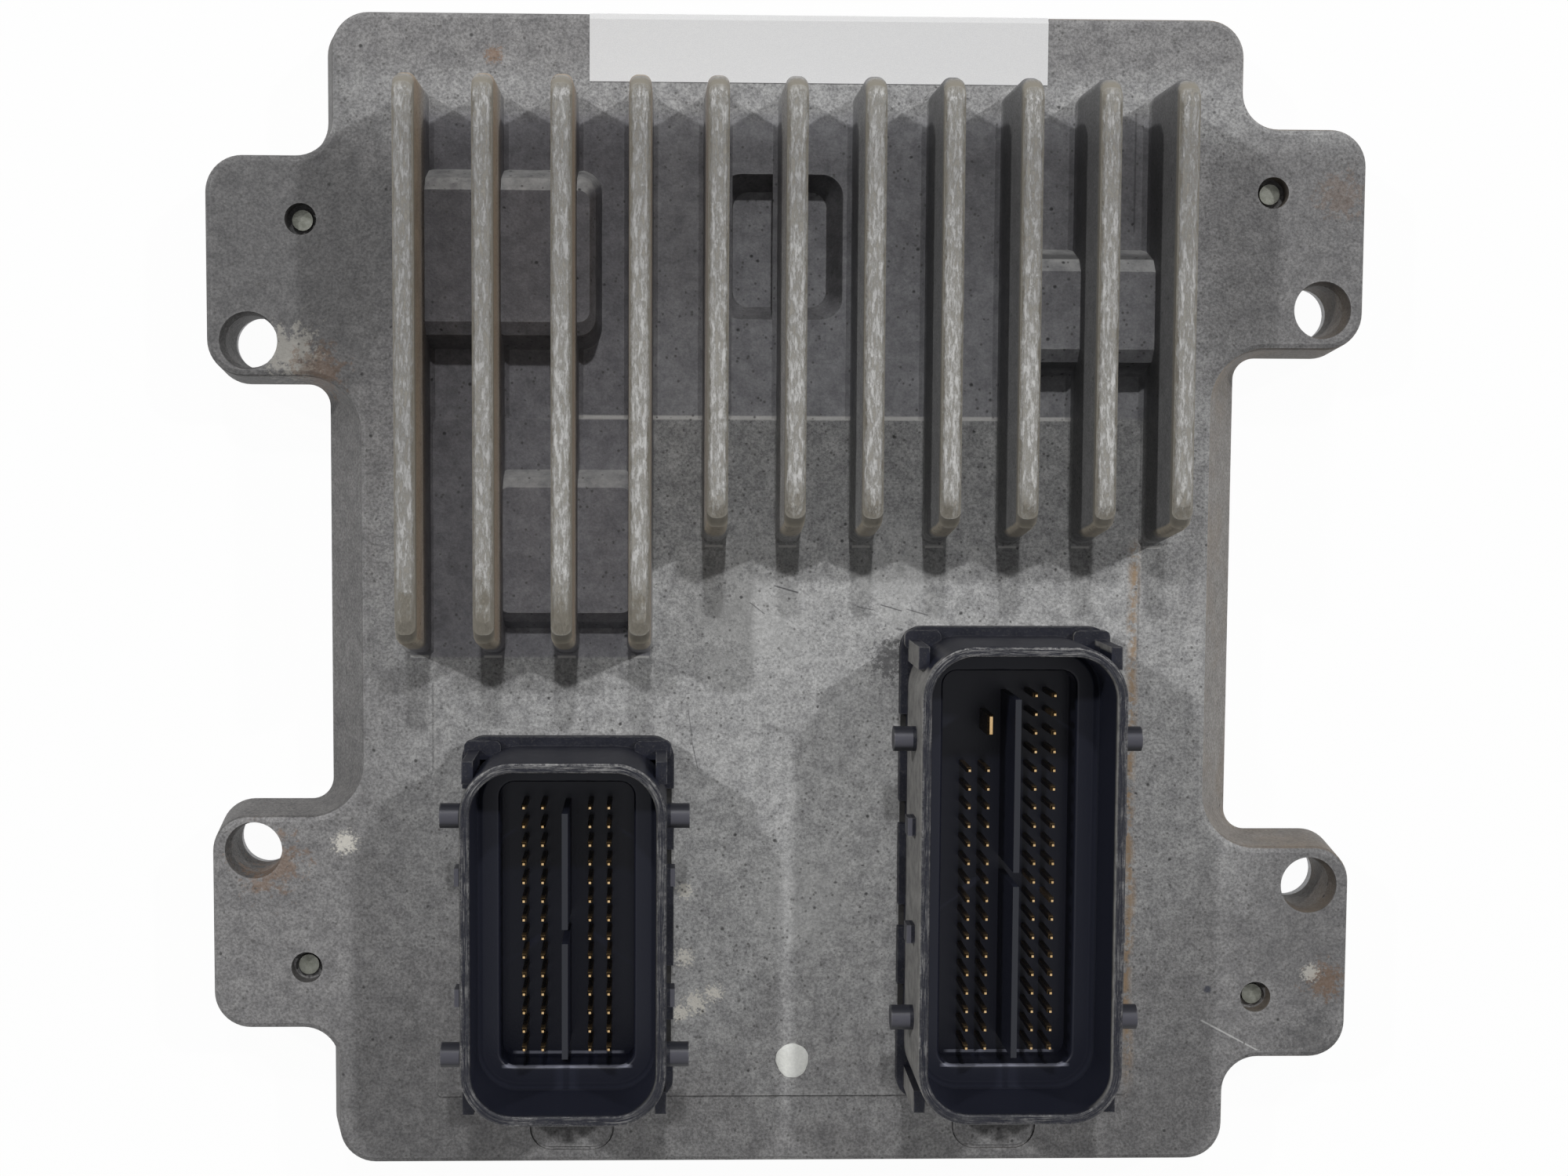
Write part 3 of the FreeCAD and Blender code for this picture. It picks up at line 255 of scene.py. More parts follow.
class WornEdges(Effect):
    """Outer edges rubbed bare, broken up along their length."""

    name = "worn_edges"
    inputs = {"Vector": None, "Width": 0.5 * MM, "Breaks": 500.0}

    def fill(self, graph: Graph, given: Sockets) -> tuple[Socket, ...]:
        """Find edges where a rounded normal turns from the plain one in the open."""
        rounded = graph.add("ShaderNodeBevel", {"Radius": given["Width"]}, samples=2).outputs[0]
        turned = graph.add("ShaderNodeVectorMath", {0: rounded, 1: graph.facing()}, operation="DOT_PRODUCT")
        edge = graph.ramp(turned.outputs["Value"], 0.995, 0.9)
        open_air = graph.add("ShaderNodeAmbientOcclusion", {"Distance": 3 * MM}, samples=3).outputs["AO"]
        breaks = graph.ramp(graph.noise(given["Vector"], given["Breaks"], 4.0, 0.7), 0.35, 0.62)
        return (graph.times(edge, graph.ramp(open_air, 0.55, 0.85), breaks),)


class Crevices(Effect):
    """Dirt that gathers in corners, and painted shade there."""

    name = "crevices"
    inputs = {"Vector": None, "Reach": 2 * MM}

    def fill(self, graph: Graph, given: Sockets) -> tuple[Socket, ...]:
        """Turn the shade of corners into a ragged mask."""
        shade = graph.add("ShaderNodeAmbientOcclusion", {"Distance": given["Reach"]}, samples=3).outputs["AO"]
        return (graph.ramp(graph.scaled(graph.noise(given["Vector"], 350.0), 0.35, shade), 1.0, 0.6),)


class Patch(Effect):
    """A ragged round patch about a place, seen from above."""

    name = "patch"
    inputs = {"Vector": None, "Centre": None, "Radius": 3 * MM, "Raggedness": 0.8, "Noise": 0.5}

    def fill(self, graph: Graph, given: Sockets) -> tuple[Socket, ...]:
        """Measure from the centre and let the noise pull the outline in and out."""
        apart = graph.add("ShaderNodeVectorMath", {0: given["Vector"], 1: given["Centre"]},
                          operation="SUBTRACT")
        flat = graph.stretched(apart.outputs[0], (1.0, 1.0, 0.0))
        away = graph.add("ShaderNodeVectorMath", {0: flat}, operation="LENGTH").outputs["Value"]
        share = graph.math("DIVIDE", away, given["Radius"])
        ragged = graph.times(graph.math("SUBTRACT", given["Noise"], 0.5),
                             graph.times(given["Raggedness"], 4.0))
        return (graph.ramp(graph.math("ADD", share, ragged), 1.0, 0.45),)


class Stripe(Effect):
    """A soft-edged band of a value about a middle."""

    name = "stripe"
    inputs = {"Value": 0.0, "Middle": 0.0, "Half Width": MM, "Softness": MM}

    def fill(self, graph: Graph, given: Sockets) -> tuple[Socket, ...]:
        """Step down softly at the same distance to either side."""
        inside = graph.math("SUBTRACT", given["Half Width"], graph.apart(given["Value"], given["Middle"]))
        return (graph.math("ADD", graph.math("DIVIDE", inside, given["Softness"]), 0.5, clamp=True),)


class Scratch(Effect):
    """A straight thin line between two places, seen from above, broken along its length."""

    name = "scratch"
    inputs = {"Vector": None, "Start": None, "Turn": None, "Length": 10 * MM, "Width": 0.2 * MM, "Noise": 0.5}

    def fill(self, graph: Graph, given: Sockets) -> tuple[Socket, ...]:
        """Turn the coordinates along the line and measure across it."""
        turned = graph.add("ShaderNodeMapping", {"Vector": given["Vector"], "Location": given["Start"],
                                                 "Rotation": given["Turn"]}, vector_type="TEXTURE").outputs[0]
        along, across, _ = graph.split(turned)
        near = graph.math("DIVIDE", graph.math("ABSOLUTE", across), given["Width"])
        line = graph.ramp(graph.scaled(given["Noise"], 0.8, near), 1.2, 0.6)
        share = graph.math("DIVIDE", along, given["Length"])
        return (graph.times(line, graph.ramp(share, 0.0, 0.05), graph.ramp(share, 1.0, 0.95)),)


MOTTLE, PITS, WORN_EDGES, CREVICES = Mottle(), Pits(), WornEdges(), Crevices()
PATCH, STRIPE, SCRATCH = Patch(), Stripe(), Scratch()


def empty_tree(owner: bpy.types.Material | bpy.types.World) -> bpy.types.NodeTree:
    """Give a new material or world a node tree.

    Args:
        owner: the material or world.

    Returns:
        Its tree, with no nodes.
    """
    owner.use_nodes = True
    owner.node_tree.nodes.clear()
    return owner.node_tree


class Coat(Graph):
    """The graph of one material, with its shader and what is known of the place that is shaded.

    Attributes:
        shader: the surface shader.
        place: the object coordinates, in metres in the row frame.
        x, y, z: the place across, along and up.
        turned, tilt, up: how far the surface faces right, back and up.
        grain, cloud, stain: the masks of the mottle effect.
    """

    def __init__(self, material: bpy.types.Material, finish: "Finish") -> None:
        """Add the nodes that every finish needs.

        Args:
            material: the new material.
            finish: the finish it shows.
        """
        super().__init__(empty_tree(material))
        self.shader = self.add("ShaderNodeBsdfPrincipled", {
            "Metallic": finish.metallic, "Roughness": finish.roughness, "Specular IOR Level": finish.gloss})
        self.add("ShaderNodeOutputMaterial", {"Surface": self.shader.outputs[0]})
        self.place = self.add("ShaderNodeTexCoord").outputs["Object"]
        self.x, self.y, self.z = self.split(self.place)
        self.turned, self.tilt, self.up = self.split(self.facing())
        self.grain, self.cloud, self.stain = self.use(MOTTLE, grain_size=finish.grain_size * MM)

    def use(self, effect: Effect, **inputs: object) -> Sockets:
        """Place a shared effect, on the object coordinates if it reads any.

        Args:
            effect: the effect to place.
            inputs: values or sockets, by the input's name in small letters.

        Returns:
            The effect's outputs.
        """
        named = {name.replace("_", " ").title(): value for name, value in inputs.items()}
        if "Vector" in effect.inputs:
            named["Vector"] = self.place
        return self.add("ShaderNodeGroup", named, node_tree=effect.tree()).outputs

    @cache
    def shared_noise(self, scale: float, detail: float, roughness: float) -> Socket:
        """Return noise on the object coordinates, from one node for all that ask for the same."""
        return self.noise(self.place, scale, detail, roughness)

    def step(self, length: Socket, low: float, high: float) -> Socket:
        """Return a smooth step over a length, from low to high in millimetres."""
        return self.ramp(length, low * MM, high * MM)

    def band(self, length: Socket, middle: float, half_width: float, softness: float) -> Socket:
        """Return a soft-edged band about the middle of a length, all in millimetres."""
        sizes = {"middle": middle * MM, "half_width": half_width * MM, "softness": softness * MM}
        return self.use(STRIPE, value=length, **sizes)[0]

    def wear(self, colour: Socket, roughness: object) -> None:
        """Join colour and roughness to the shader."""
        self.feed(self.shader.inputs["Base Color"], colour)
        self.feed(self.shader.inputs["Roughness"], roughness)

    def relief(self, height: Socket, depth: float, strength: float) -> None:
        """Join a height to the shader's normal, one standing the depth in millimetres above nought."""
        bump = self.add("ShaderNodeBump", {"Height": height, "Distance": depth * MM, "Strength": strength})
        self.feed(self.shader.inputs["Normal"], bump.outputs[0])


@dataclass(frozen=True)
class Finish:
    """What every finish shares.

    Attributes:
        name: the material's name.
        roughness: how dull the surface is.
        metallic: how far it is bare metal.
        gloss: how strongly it reflects.
        grain_size: the size of its grain, in millimetres.
    """

    name: str
    roughness: float = 0.5
    metallic: float = 0.0
    gloss: float = 0.4
    grain_size: float = 0.3

    def material(self) -> bpy.types.Material:
        """Build the material.

        Returns:
            The material, with its surface joined up.
        """
        made = bpy.data.materials.new(self.name)
        self.paint(Coat(made, self))
        return made

    def paint(self, coat: Coat) -> None:
        """Join colour, roughness and relief to the shader."""
        raise NotImplementedError


CHALK: Colour = (0.78, 0.75, 0.68)
RUST: Colour = (0.24, 0.13, 0.06)
TAN: Colour = (0.3, 0.235, 0.17)
RUSTY_TAN: Colour = (0.34, 0.24, 0.15)
GRIME: Colour = (0.05, 0.05, 0.052)
BARE: Colour = (0.6, 0.6, 0.59)
BRIGHT: Colour = (0.8, 0.79, 0.77)
SOOT: Colour = (0.04, 0.04, 0.045)
INK: Colour = (0.03, 0.035, 0.06)


@dataclass(frozen=True)
class Blemish:
    """One marked place on the casting.

    Attributes:
        x: place across the unit, in millimetres.
        y: place along the unit, in millimetres.
        radius: how far it spreads, in millimetres.
        colour: its colour.
        strength: how much it covers.
        broken: how ragged it is.
    """

    x: float
    y: float
    radius: float
    colour: Colour
    strength: float = 0.8
    broken: float = 0.8

    def mask(self, coat: Coat) -> Socket:
        """Return where it lies.

        Args:
            coat: the casting's graph.

        Returns:
            Its mask.
        """
        radius = self.radius * MM
        waves_across = 3.6
        return coat.use(PATCH, centre=(self.x * MM, self.y * MM, 0.0), radius=radius, raggedness=self.broken,
                        noise=coat.shared_noise(waves_across / radius, 4.0, 0.75))[0]


BLEMISHES = tuple(Blemish(*values) for values in (
    (-67.8, 33.4, 4.2, CHALK, 0.7, 1),
    (-64, 31, 4, RUST, 0.5, 0.9),
    (-60.9, -33.9, 1.8, CHALK, 0.9, 1),
    (-71.2, -36.6, 5, RUST, 0.45, 0.9),
    (76.1, -53.5, 3, RUST, 0.6, 0.9),
    (74, -52.5, 1.4, CHALK, 0.8, 1),
    (-14.4, -57.8, 1.3, CHALK, 0.9, 1),
    (-12.3, -56.5, 1.7, CHALK, 0.9, 1.1),
    (-9.8, -55, 1.3, CHALK, 0.9, 1.1),
    (-13.9, -40.6, 1.2, CHALK, 0.8, 1.1),
    (-14, -50, 1.4, CHALK, 0.8, 1.2),
    (-40.1, 73.5, 1.4, RUST, 0.6),
    (75.6, 55.6, 3.5, RUST, 0.3, 1),
    (75.2, -62.5, 5, GRIME, 0.45, 0.9),
    (59.5, -54.8, 0.7, INK, 0.8, 0.2),
    (-4.7, -2.8, 9, BARE, 0.32, 1.3),
    (15.8, 2.7, 8, BARE, 0.32, 1.3),
    (-70, 47, 30, GRIME, 0.5, 0.25),
    (73, 48, 25, GRIME, 0.26, 0.25),
    (60, -73, 22, GRIME, 0.16, 0.25),
    (14.6, -8.2, 3.2, SOOT, 0.6, 1.3),
    # painted light on the lit strip between the connectors' shadows
    (2, -42, 9, BARE, 0.2, 0.3),
    (-46, -24, 24, GRIME, 0.14, 0.25),
    (76, -45, 18, GRIME, 0.32, 0.25),
    (-56, -74, 24, GRIME, 0.26, 0.25),
))


@dataclass(frozen=True)
class Line:
    """One thin mark on the casting.

    Attributes:
        start: where it starts, in millimetres.
        end: where it ends, in millimetres.
        width: how wide it is, in millimetres.
        colour: its colour.
        strength: how much it covers.
    """

    start: tuple[float, float]
    end: tuple[float, float]
    width: float
    colour: Colour
    strength: float = 0.7

    def mask(self, coat: Coat) -> Socket:
        """Return where it lies.

        Args:
            coat: the casting's graph.

        Returns:
            Its mask.
        """
        across, along = self.end[0] - self.start[0], self.end[1] - self.start[1]
        return coat.use(SCRATCH, start=(self.start[0] * MM, self.start[1] * MM, 0.0),
                        turn=(0.0, 0.0, math.atan2(along, across)), length=math.hypot(across, along) * MM,
                        width=self.width * MM, noise=coat.shared_noise(800.0, 3.0, 0.55))[0]


LINES = tuple(Line(*values) for values in (
    ((58.5, -59.1), (66.9, -63.6), 0.22, BARE, 0.8),
    ((47.2, 50), (47.2, 67), 0.25, GRIME, 0.5),
    ((-1.9, 1.9), (1.6, 0.9), 0.2, SOOT, 0.75),
    ((9.6, -1), (12.2, -1.5), 0.15, SOOT, 0.6),
    ((12.8, -0.7), (15.9, -1.6), 0.16, SOOT, 0.65),
    ((16.4, -1.3), (19.6, -2.2), 0.15, SOOT, 0.6),
    ((-5.2, -0.4), (-3, -2.1), 0.14, SOOT, 0.55),
    ((-13.6, -15.2), (-13, -19), 0.15, SOOT, 0.5),
    ((-13.1, -19.4), (-12.2, -23.6), 0.15, SOOT, 0.55),
))


@dataclass(frozen=True)
class CastAluminium(Finish):
    """Old die-cast aluminium: dull, mottled, rubbed bright where things touch it.

    Attributes:
        light: the cleaner metal.
        dark: the dirtier metal.
        soil: the tint of the dirt away from the middle.
        groove: the tint of the floors between the right fins, a light painted shade.
        skin_and_shade: the darker tint of the floors between the left fins: the casting's darker surface
            there, and painted shade.
        dust: the tan dust on the fins' sides.
        shade: painted shade on the sides of the right fins.
        outer_wall: the tint of the walls round the outside.
        lit_front_run: the tan of the fins' front ends, lightened as painted light.
        fin_top: the dull metal of the fins' tops beside the rubbed band, darkened as painted shade of rounder
            upper edges.
        bright: the metal where it is rubbed.
        dulled: the same where the casting is dirty.
        speck: the small dark specks.
        pit: the pits.
    """

    light: Colour = (0.482, 0.482, 0.479)
    dark: Colour = (0.318, 0.318, 0.321)
    soil: Colour = (0.61, 0.6, 0.602)
    groove: Colour = (0.92, 0.92, 0.965)
    skin_and_shade: Colour = (0.74, 0.735, 0.79)
    dust: Colour = (0.4, 0.29, 0.18)
    shade: Colour = (0.1, 0.1, 0.102)
    outer_wall: Colour = (0.46, 0.45, 0.44)
    lit_front_run: Colour = (0.52, 0.46, 0.36)
    fin_top: Colour = (0.27, 0.25, 0.21)
    bright: Colour = (0.68, 0.675, 0.66)
    dulled: Colour = (0.4216, 0.4185, 0.4158)
    speck: Colour = (0.09, 0.088, 0.085)
    pit: Colour = (0.04, 0.04, 0.04)

    def paint(self, coat: Coat) -> None:
        """Lay the metal, its dirt, its marks and its painted light and shade, and rub the fins.

        Args:
            coat: the casting's graph.
        """
        z, tilt = coat.z, coat.tilt
        clean = self.clean_middle(coat)
        colour = coat.mix(coat.cloud, self.dark, self.light)
        colour = coat.mix(clean, coat.tint(colour, self.soil), colour)
        zone, left = self.groove_zone(coat)
        grain = coat.ramp(coat.grain, 0.3, 0.7)
        speckle = coat.mix(grain, (0.66, 0.66, 0.66), (1.34, 1.34, 1.34))
        colour = coat.tint(colour, speckle, coat.scaled(zone, -0.6, 0.95))
        # painted shade on the floors between the fins, with the casting's darker surface on the left
        colour = coat.tint(colour, coat.mix(left, self.groove, self.skin_and_shade), zone)
        # painted highlight on the slopes between the fins that face the back lamp
        slope = coat.times(coat.ramp(tilt, 0.2, 0.6), coat.step(z, POCKET_LEVEL + 0.5, POCKET_LEVEL - 0.5),
                           zone, coat.step(z, FACE_LEVEL - 0.1, FACE_LEVEL + 0.1),
                           coat.scaled(coat.cloud, 0.6, 0.3))
        colour = self.paint_step_highlights(coat, coat.mix(slope, colour, BARE))
        colour = self.dust_and_shade_walls(coat, colour)
        # painted light in tan on the fins' front ends, which face away from the lamps
        lit_front_run = coat.times(coat.ramp(tilt, -0.12, -0.45), coat.step(z, 17.5, 20.5),
                         coat.scaled(coat.grain, 0.9, 0.4))
        colour = self.mark(coat, coat.mix(lit_front_run, colour, self.lit_front_run))
        specks = coat.use(PITS, spacing=1.0 * MM, size=0.25, gathering=0.5)[0]
        pits = coat.use(PITS, spacing=2.6 * MM, size=0.12, gathering=0.54)[0]
        colour = coat.mix(coat.times(specks, 0.72), colour, self.speck)
        colour = coat.mix(coat.times(pits, 0.85), colour, self.pit)
        # painted shade on the fins' upper edges, over their dull metal
        colour = coat.mix(coat.step(z, FIN_TOP - 2, FIN_TOP - 1), colour, self.fin_top)
        top = coat.step(z, FIN_TOP - 0.6, FIN_TOP - 0.15)
        along_fins = coat.stretched(coat.place, (6.0, 1.4, 6.0))
        streaks = coat.ramp(coat.noise(along_fins, 380.0, 6.0, 0.85), 0.41, 0.57)
        rubbed = coat.times(top, self.fin_ridge(coat), coat.scaled(streaks, 0.72, 0.22))
        edges = coat.use(WORN_EDGES, width=0.6 * MM, breaks=420.0)[0]
        bare = coat.math("MAXIMUM", rubbed, coat.times(edges, 0.4))
        colour = coat.mix(bare, colour, coat.mix(clean, self.dulled, self.bright))
        coat.wear(colour, coat.scaled(bare, -0.18, coat.scaled(grain, -0.12, self.roughness)))
        height = coat.scaled(pits, -1.2, coat.scaled(coat.cloud, 0.5, coat.grain))
        coat.relief(coat.scaled(top, streaks, height), 0.09, 0.7)

    def long_fins(self, coat: Coat) -> Socket:
        """Return one on the left, where the fins are long, and nought on the right."""
        return coat.step(coat.x, LONG_FINS_END + 1, LONG_FINS_END - 1)

    def off_fin(self, coat: Coat) -> Socket:
        """Return how far a place lies from the middle of the nearest fin."""
        return coat.math("PINGPONG", coat.x, FIN_PITCH * MM / 2)

    def fin_ridge(self, coat: Coat) -> Socket:
        """Return where the fins' tops are rubbed: a ragged band along the middle of each.

        Args:
            coat: the casting's graph.

        Returns:
            The band's mask.
        """
        noise = coat.noise(coat.stretched(coat.place, (1.0, 0.5, 1.0)), 700.0, 4.0, 0.75)
        ragged = coat.math("SUBTRACT", noise, 0.5)
        band = coat.step(coat.scaled(ragged, 1.6 * MM, self.off_fin(coat)), 1.3, 0.95)
        front = coat.scaled(self.long_fins(coat), -12.0 * MM, 13.6 * MM)
        worn_off = coat.scaled(ragged, 18.0 * MM, coat.math("SUBTRACT", coat.y, front))
        return coat.times(band, coat.step(worn_off, -3, 3))

    def clean_middle(self, coat: Coat) -> Socket:
        """Return how clean the metal is: clean in the middle and dirty towards the outline.

        Args:
            coat: the casting's graph.

        Returns:
            The cleanness.
        """
        middle = coat.use(PATCH, centre=(9 * MM, -6 * MM, 0.0), radius=83 * MM, raggedness=0.12,
                          noise=coat.shared_noise(30.0, 4.0, 0.75))[0]
        clean = coat.scaled(coat.band(coat.y, 67, 5, 4), 0.55, middle)
        return coat.scaled(coat.stain, -0.2, clean, clamp=True)

    def groove_zone(self, coat: Coat) -> tuple[Socket, Socket]:
        """Return the floors between the fins, tinted darker: partly the casting's darker surface, partly
        painted shade.

        Args:
            coat: the casting's graph.

        Returns:
            The zone, and what lies on the left.
        """
        low = coat.step(coat.z, POCKET_LEVEL, POCKET_LEVEL - 1.2)
        left = coat.step(coat.x, -18.2, -18.9)
        start = coat.scaled(left, -(STEP_PLACE + 8.4) * MM, STEP_PLACE * MM)
        behind = coat.step(coat.math("SUBTRACT", coat.y, start), 0, 0.6)
        wide = coat.band(coat.x, 0, FIN_REACH, 1.5)
        return coat.times(low, wide, behind, coat.step(coat.y, 67, 64)), left

    def paint_step_highlights(self, coat: Coat, colour: Socket) -> Socket:
        """Paint highlights on the edge of the low step across the grooves and at the foot of each fin.

        Args:
            coat: the casting's graph.
            colour: the colour so far.

        Returns:
            The marked colour.
        """
        line = coat.times(coat.band(coat.y, STEP_PLACE + 0.15, 0.28, 0.2),
                          coat.band(coat.x, 5, 37, 1))
        front = coat.scaled(self.long_fins(coat), (LONG_FIN_FOOT - SHORT_FIN_FOOT) * MM, SHORT_FIN_FOOT * MM)
        foot = coat.times(coat.band(coat.math("SUBTRACT", coat.y, front), 0, 0.17, 0.12),
                          coat.step(self.off_fin(coat), 1.35, 1.15),
                          coat.band(coat.x, 0, FIN_REACH + 1, 1))
        low = coat.step(coat.z, FACE_LEVEL + 1.6, FACE_LEVEL + 1)
        # painted highlights on the step's edge and on each fin's foot
        return coat.mix(coat.times(coat.math("MAXIMUM", line, foot), low, 0.8), colour, BRIGHT)

    def dust_and_shade_walls(self, coat: Coat, colour: Socket) -> Socket:
        """Lay tan dust on the sides of the left fins with painted light towards their tops, paint shade on
        the sides of the right fins and darken the other walls.

        Args:
            coat: the casting's graph.
            colour: the colour so far.

        Returns:
            The soiled colour.
        """
        x, z = coat.x, coat.z
        wall = coat.ramp(coat.math("ABSOLUTE", coat.up), 0.75, 0.35)
        sides = coat.times(wall, coat.step(z, 13, 15))
        # tan dust on the left fins' sides, laid stronger towards the top as painted light on the upper flanks
        dusty = coat.times(sides, coat.step(x, 5, -25), coat.scaled(coat.grain, 0.7, 0.3),
                           coat.step(z, 15, 25))
        colour = coat.mix(dusty, colour, self.dust)
        # painted shade on the sides of the right fins
        colour = coat.mix(coat.times(sides, coat.step(x, -5, 20), 0.7), colour, self.shade)
        outside = coat.times(wall, coat.step(z, FACE_LEVEL + 0.2, FACE_LEVEL - 0.4))
        colour = coat.tint(colour, self.outer_wall, outside)
        brown = coat.times(outside, coat.step(x, 0, 60), coat.scaled(coat.stain, 0.45, 0.25))
        return coat.mix(brown, colour, TAN)

    def mark(self, coat: Coat, colour: Socket) -> Socket:
        """Lay the blemishes, the thin marks and the rusty line on the face.

        Args:
            coat: the casting's graph.
            colour: the colour so far.

        Returns:
            The marked colour.
        """
        for mark in (*BLEMISHES, *LINES):
            colour = coat.mix(coat.times(mark.mask(coat), mark.strength), colour, mark.colour)
        weave = coat.scaled(coat.noise(coat.place, 60.0, 3.0), 2.2 * MM, coat.x)
        broken = coat.ramp(coat.noise(coat.place, 520.0, 4.0, 0.75), 0.4, 0.56)
        rusty = coat.times(coat.band(weave, RUST_LINE, 0.6, 1), coat.step(coat.y, 9, 6),
                           coat.step(coat.y, -72, -60), broken, 0.9)
        return coat.mix(rusty, colour, RUSTY_TAN)


@dataclass(frozen=True)
class ConnectorPlastic(Finish):
    """Black moulded plastic, near black inside, scuffed and dusty outside.

    Attributes:
        middle: the connector's middle across and along, in millimetres.
        mouth: half the mouth's width and length, in millimetres.
        rim: the rim's level, in millimetres.
        wall: how thick the rim is, in millimetres.
        corner: the radius of its corners, in millimetres.
        inside: the clean plastic deep in the mouth, kept darker than the ledge as painted shade.
        ledge: the plastic above the recess's floor.
        outside: the dirty plastic.
        grey: the paler clouds on it.
        speck: the specks of dust on it.
        dust: the dust on the walls that face left.
        peg: the plastic of the lever pegs.
        crown: the light on top of them.
        rib: the top of the centre rib.
        glint: the painted highlights along the edges at the near end of the recess.
        scuff: the rubbed plastic.
    """

    middle: tuple[float, float] = (0.0, 0.0)
    mouth: tuple[float, float] = (12.1, 22.6)
    rim: float = 30.0
    wall: float = 1.4
    corner: float = 7.0
    inside: Colour = (0.0052, 0.0066, 0.0165)
    ledge: Colour = (0.0155, 0.0172, 0.0285)
    outside: Colour = (0.0085, 0.0095, 0.0165)
    grey: Colour = (0.019, 0.02, 0.029)
    speck: Colour = (0.1, 0.098, 0.095)
    dust: Colour = (0.1, 0.098, 0.092)
    peg: Colour = (0.03, 0.031, 0.04)
    crown: Colour = (0.15, 0.15, 0.18)
    rib: Colour = (0.03, 0.032, 0.04)
    glint: Colour = (0.3, 0.31, 0.38)
    scuff: Colour = (0.46, 0.455, 0.45)

    def paint(self, coat: Coat) -> None:
        """Lay the dusty outside, the dark inside and the scuffs.

        Args:
            coat: the shell's graph.
        """
        z = coat.z
        across, along = (coat.band(place, middle, reach + 0.3, 0.4)
                         for place, middle, reach in zip((coat.x, coat.y), self.middle, self.mouth))
        inner = coat.times(across, along, coat.step(z, self.rim - 0.3, self.rim - 1.2))
        off_middle = coat.apart(coat.x, self.middle[0] * MM)
        pegs = coat.times(coat.math("GREATER_THAN", off_middle, 14.0 * MM), coat.step(z, 18.5, 20))
        # painted shade: the plastic deep in the mouth is darker than on the ledge
        deep = coat.step(z, 16.8, 17.6)
        colour = coat.mix(inner, self.dirty(coat, pegs), coat.mix(deep, self.inside, self.ledge))
        colour = self.light_edges(coat, colour, inner)
        inset = self.outline(coat)
        foot = coat.times(coat.step(inset, -0.9 - self.wall, -0.5 - self.wall),
                          coat.step(z, 19.2, 18.8), inner)
        colour = coat.mix(foot, colour, self.ledge)
        scuffed = self.scuff_rim(coat, inset)
        edges = coat.use(WORN_EDGES, width=0.25 * MM, breaks=900.0)[0]
        worn = coat.times(edges, coat.scaled(inner, -0.6, 0.6))
        colour = coat.mix(coat.math("MAXIMUM", scuffed, worn), colour, self.scuff)
        rough = coat.scaled(coat.math("MAXIMUM", inner, pegs), -0.14, self.roughness)
        coat.wear(colour, coat.scaled(foot, 0.6, rough, clamp=True))
        coat.relief(coat.math("ADD", coat.grain, scuffed), 0.03, 0.5)

    def dirty(self, coat: Coat, pegs: Socket) -> Socket:
        """Return the colour of the outside.

        Args:
            coat: the shell's graph.
            pegs: where the lever pegs are.

        Returns:
            The colour, with its clouds, specks and dust.
        """
        colour = coat.mix(coat.cloud, self.outside, self.grey)
        specks = coat.times(coat.ramp(coat.grain, 0.5, 0.75), 0.35)
        side = coat.times(coat.ramp(coat.turned, -0.4, -0.9), coat.step(coat.z, 14.7, 15.6),
                          coat.scaled(coat.cloud, 0.45, 0.45))
        crown = coat.times(pegs, coat.ramp(coat.up, 0.75, 0.97), 0.8)
        for share, over in ((specks, self.speck), (side, self.dust), (pegs, self.peg), (crown, self.crown)):
            colour = coat.mix(share, colour, over)
        return colour

    def light_edges(self, coat: Coat, colour: Socket, inner: Socket) -> Socket:
        """Lighten the rib's top, and paint highlights along the edges at the near end of the recess.

        Args:
            coat: the shell's graph.
            colour: the colour so far.
            inner: where the surface is inside the mouth.

        Returns:
            The lightened colour.
        """
        x, y, z = coat.x, coat.y, coat.z
        ridge = coat.times(inner, coat.band(x, self.middle[0], 0.9, 0.3), coat.ramp(coat.up, 0.4, 0.8),
                           coat.step(z, 23.5, 24.6), coat.step(z, 25.6, 25.2))
        colour = coat.mix(ridge, colour, self.rib)
        near_end = self.middle[1] - self.mouth[1] + 3.0
        # painted highlights on the recess's lip and along its floor's edge
        for past_end, half_width, level, reach in ((0.05, 0.22, 17.0, 8.6), (0.55, 0.2, 12.0, 7.4)):
            line = coat.times(coat.band(y, near_end + past_end, half_width, 0.12),
                              coat.band(x, self.middle[0], reach, 0.8), coat.step(z, level, level + 0.3),
                              coat.step(z, level + 4.4, level + 4), inner, 0.85)
            colour = coat.mix(line, colour, self.glint)
        return colour

    def outline(self, coat: Coat) -> Socket:
        """Return how far outside the rim's outer edge a place lies.

        Args:
            coat: the shell's graph.

        Returns:
            The distance in metres, below nought inside.
        """
        squares = []
        for place, middle, reach in zip((coat.x, coat.y), self.middle, self.mouth):
            straight = (reach + self.wall - self.corner) * MM
            past = coat.math("SUBTRACT", coat.apart(place, middle * MM), straight)
            squares.append(coat.math("POWER", coat.math("MAXIMUM", past, 0.0), 2.0))
        distance = coat.math("SQRT", coat.math("ADD", *squares))
        return coat.math("SUBTRACT", distance, self.corner * MM)

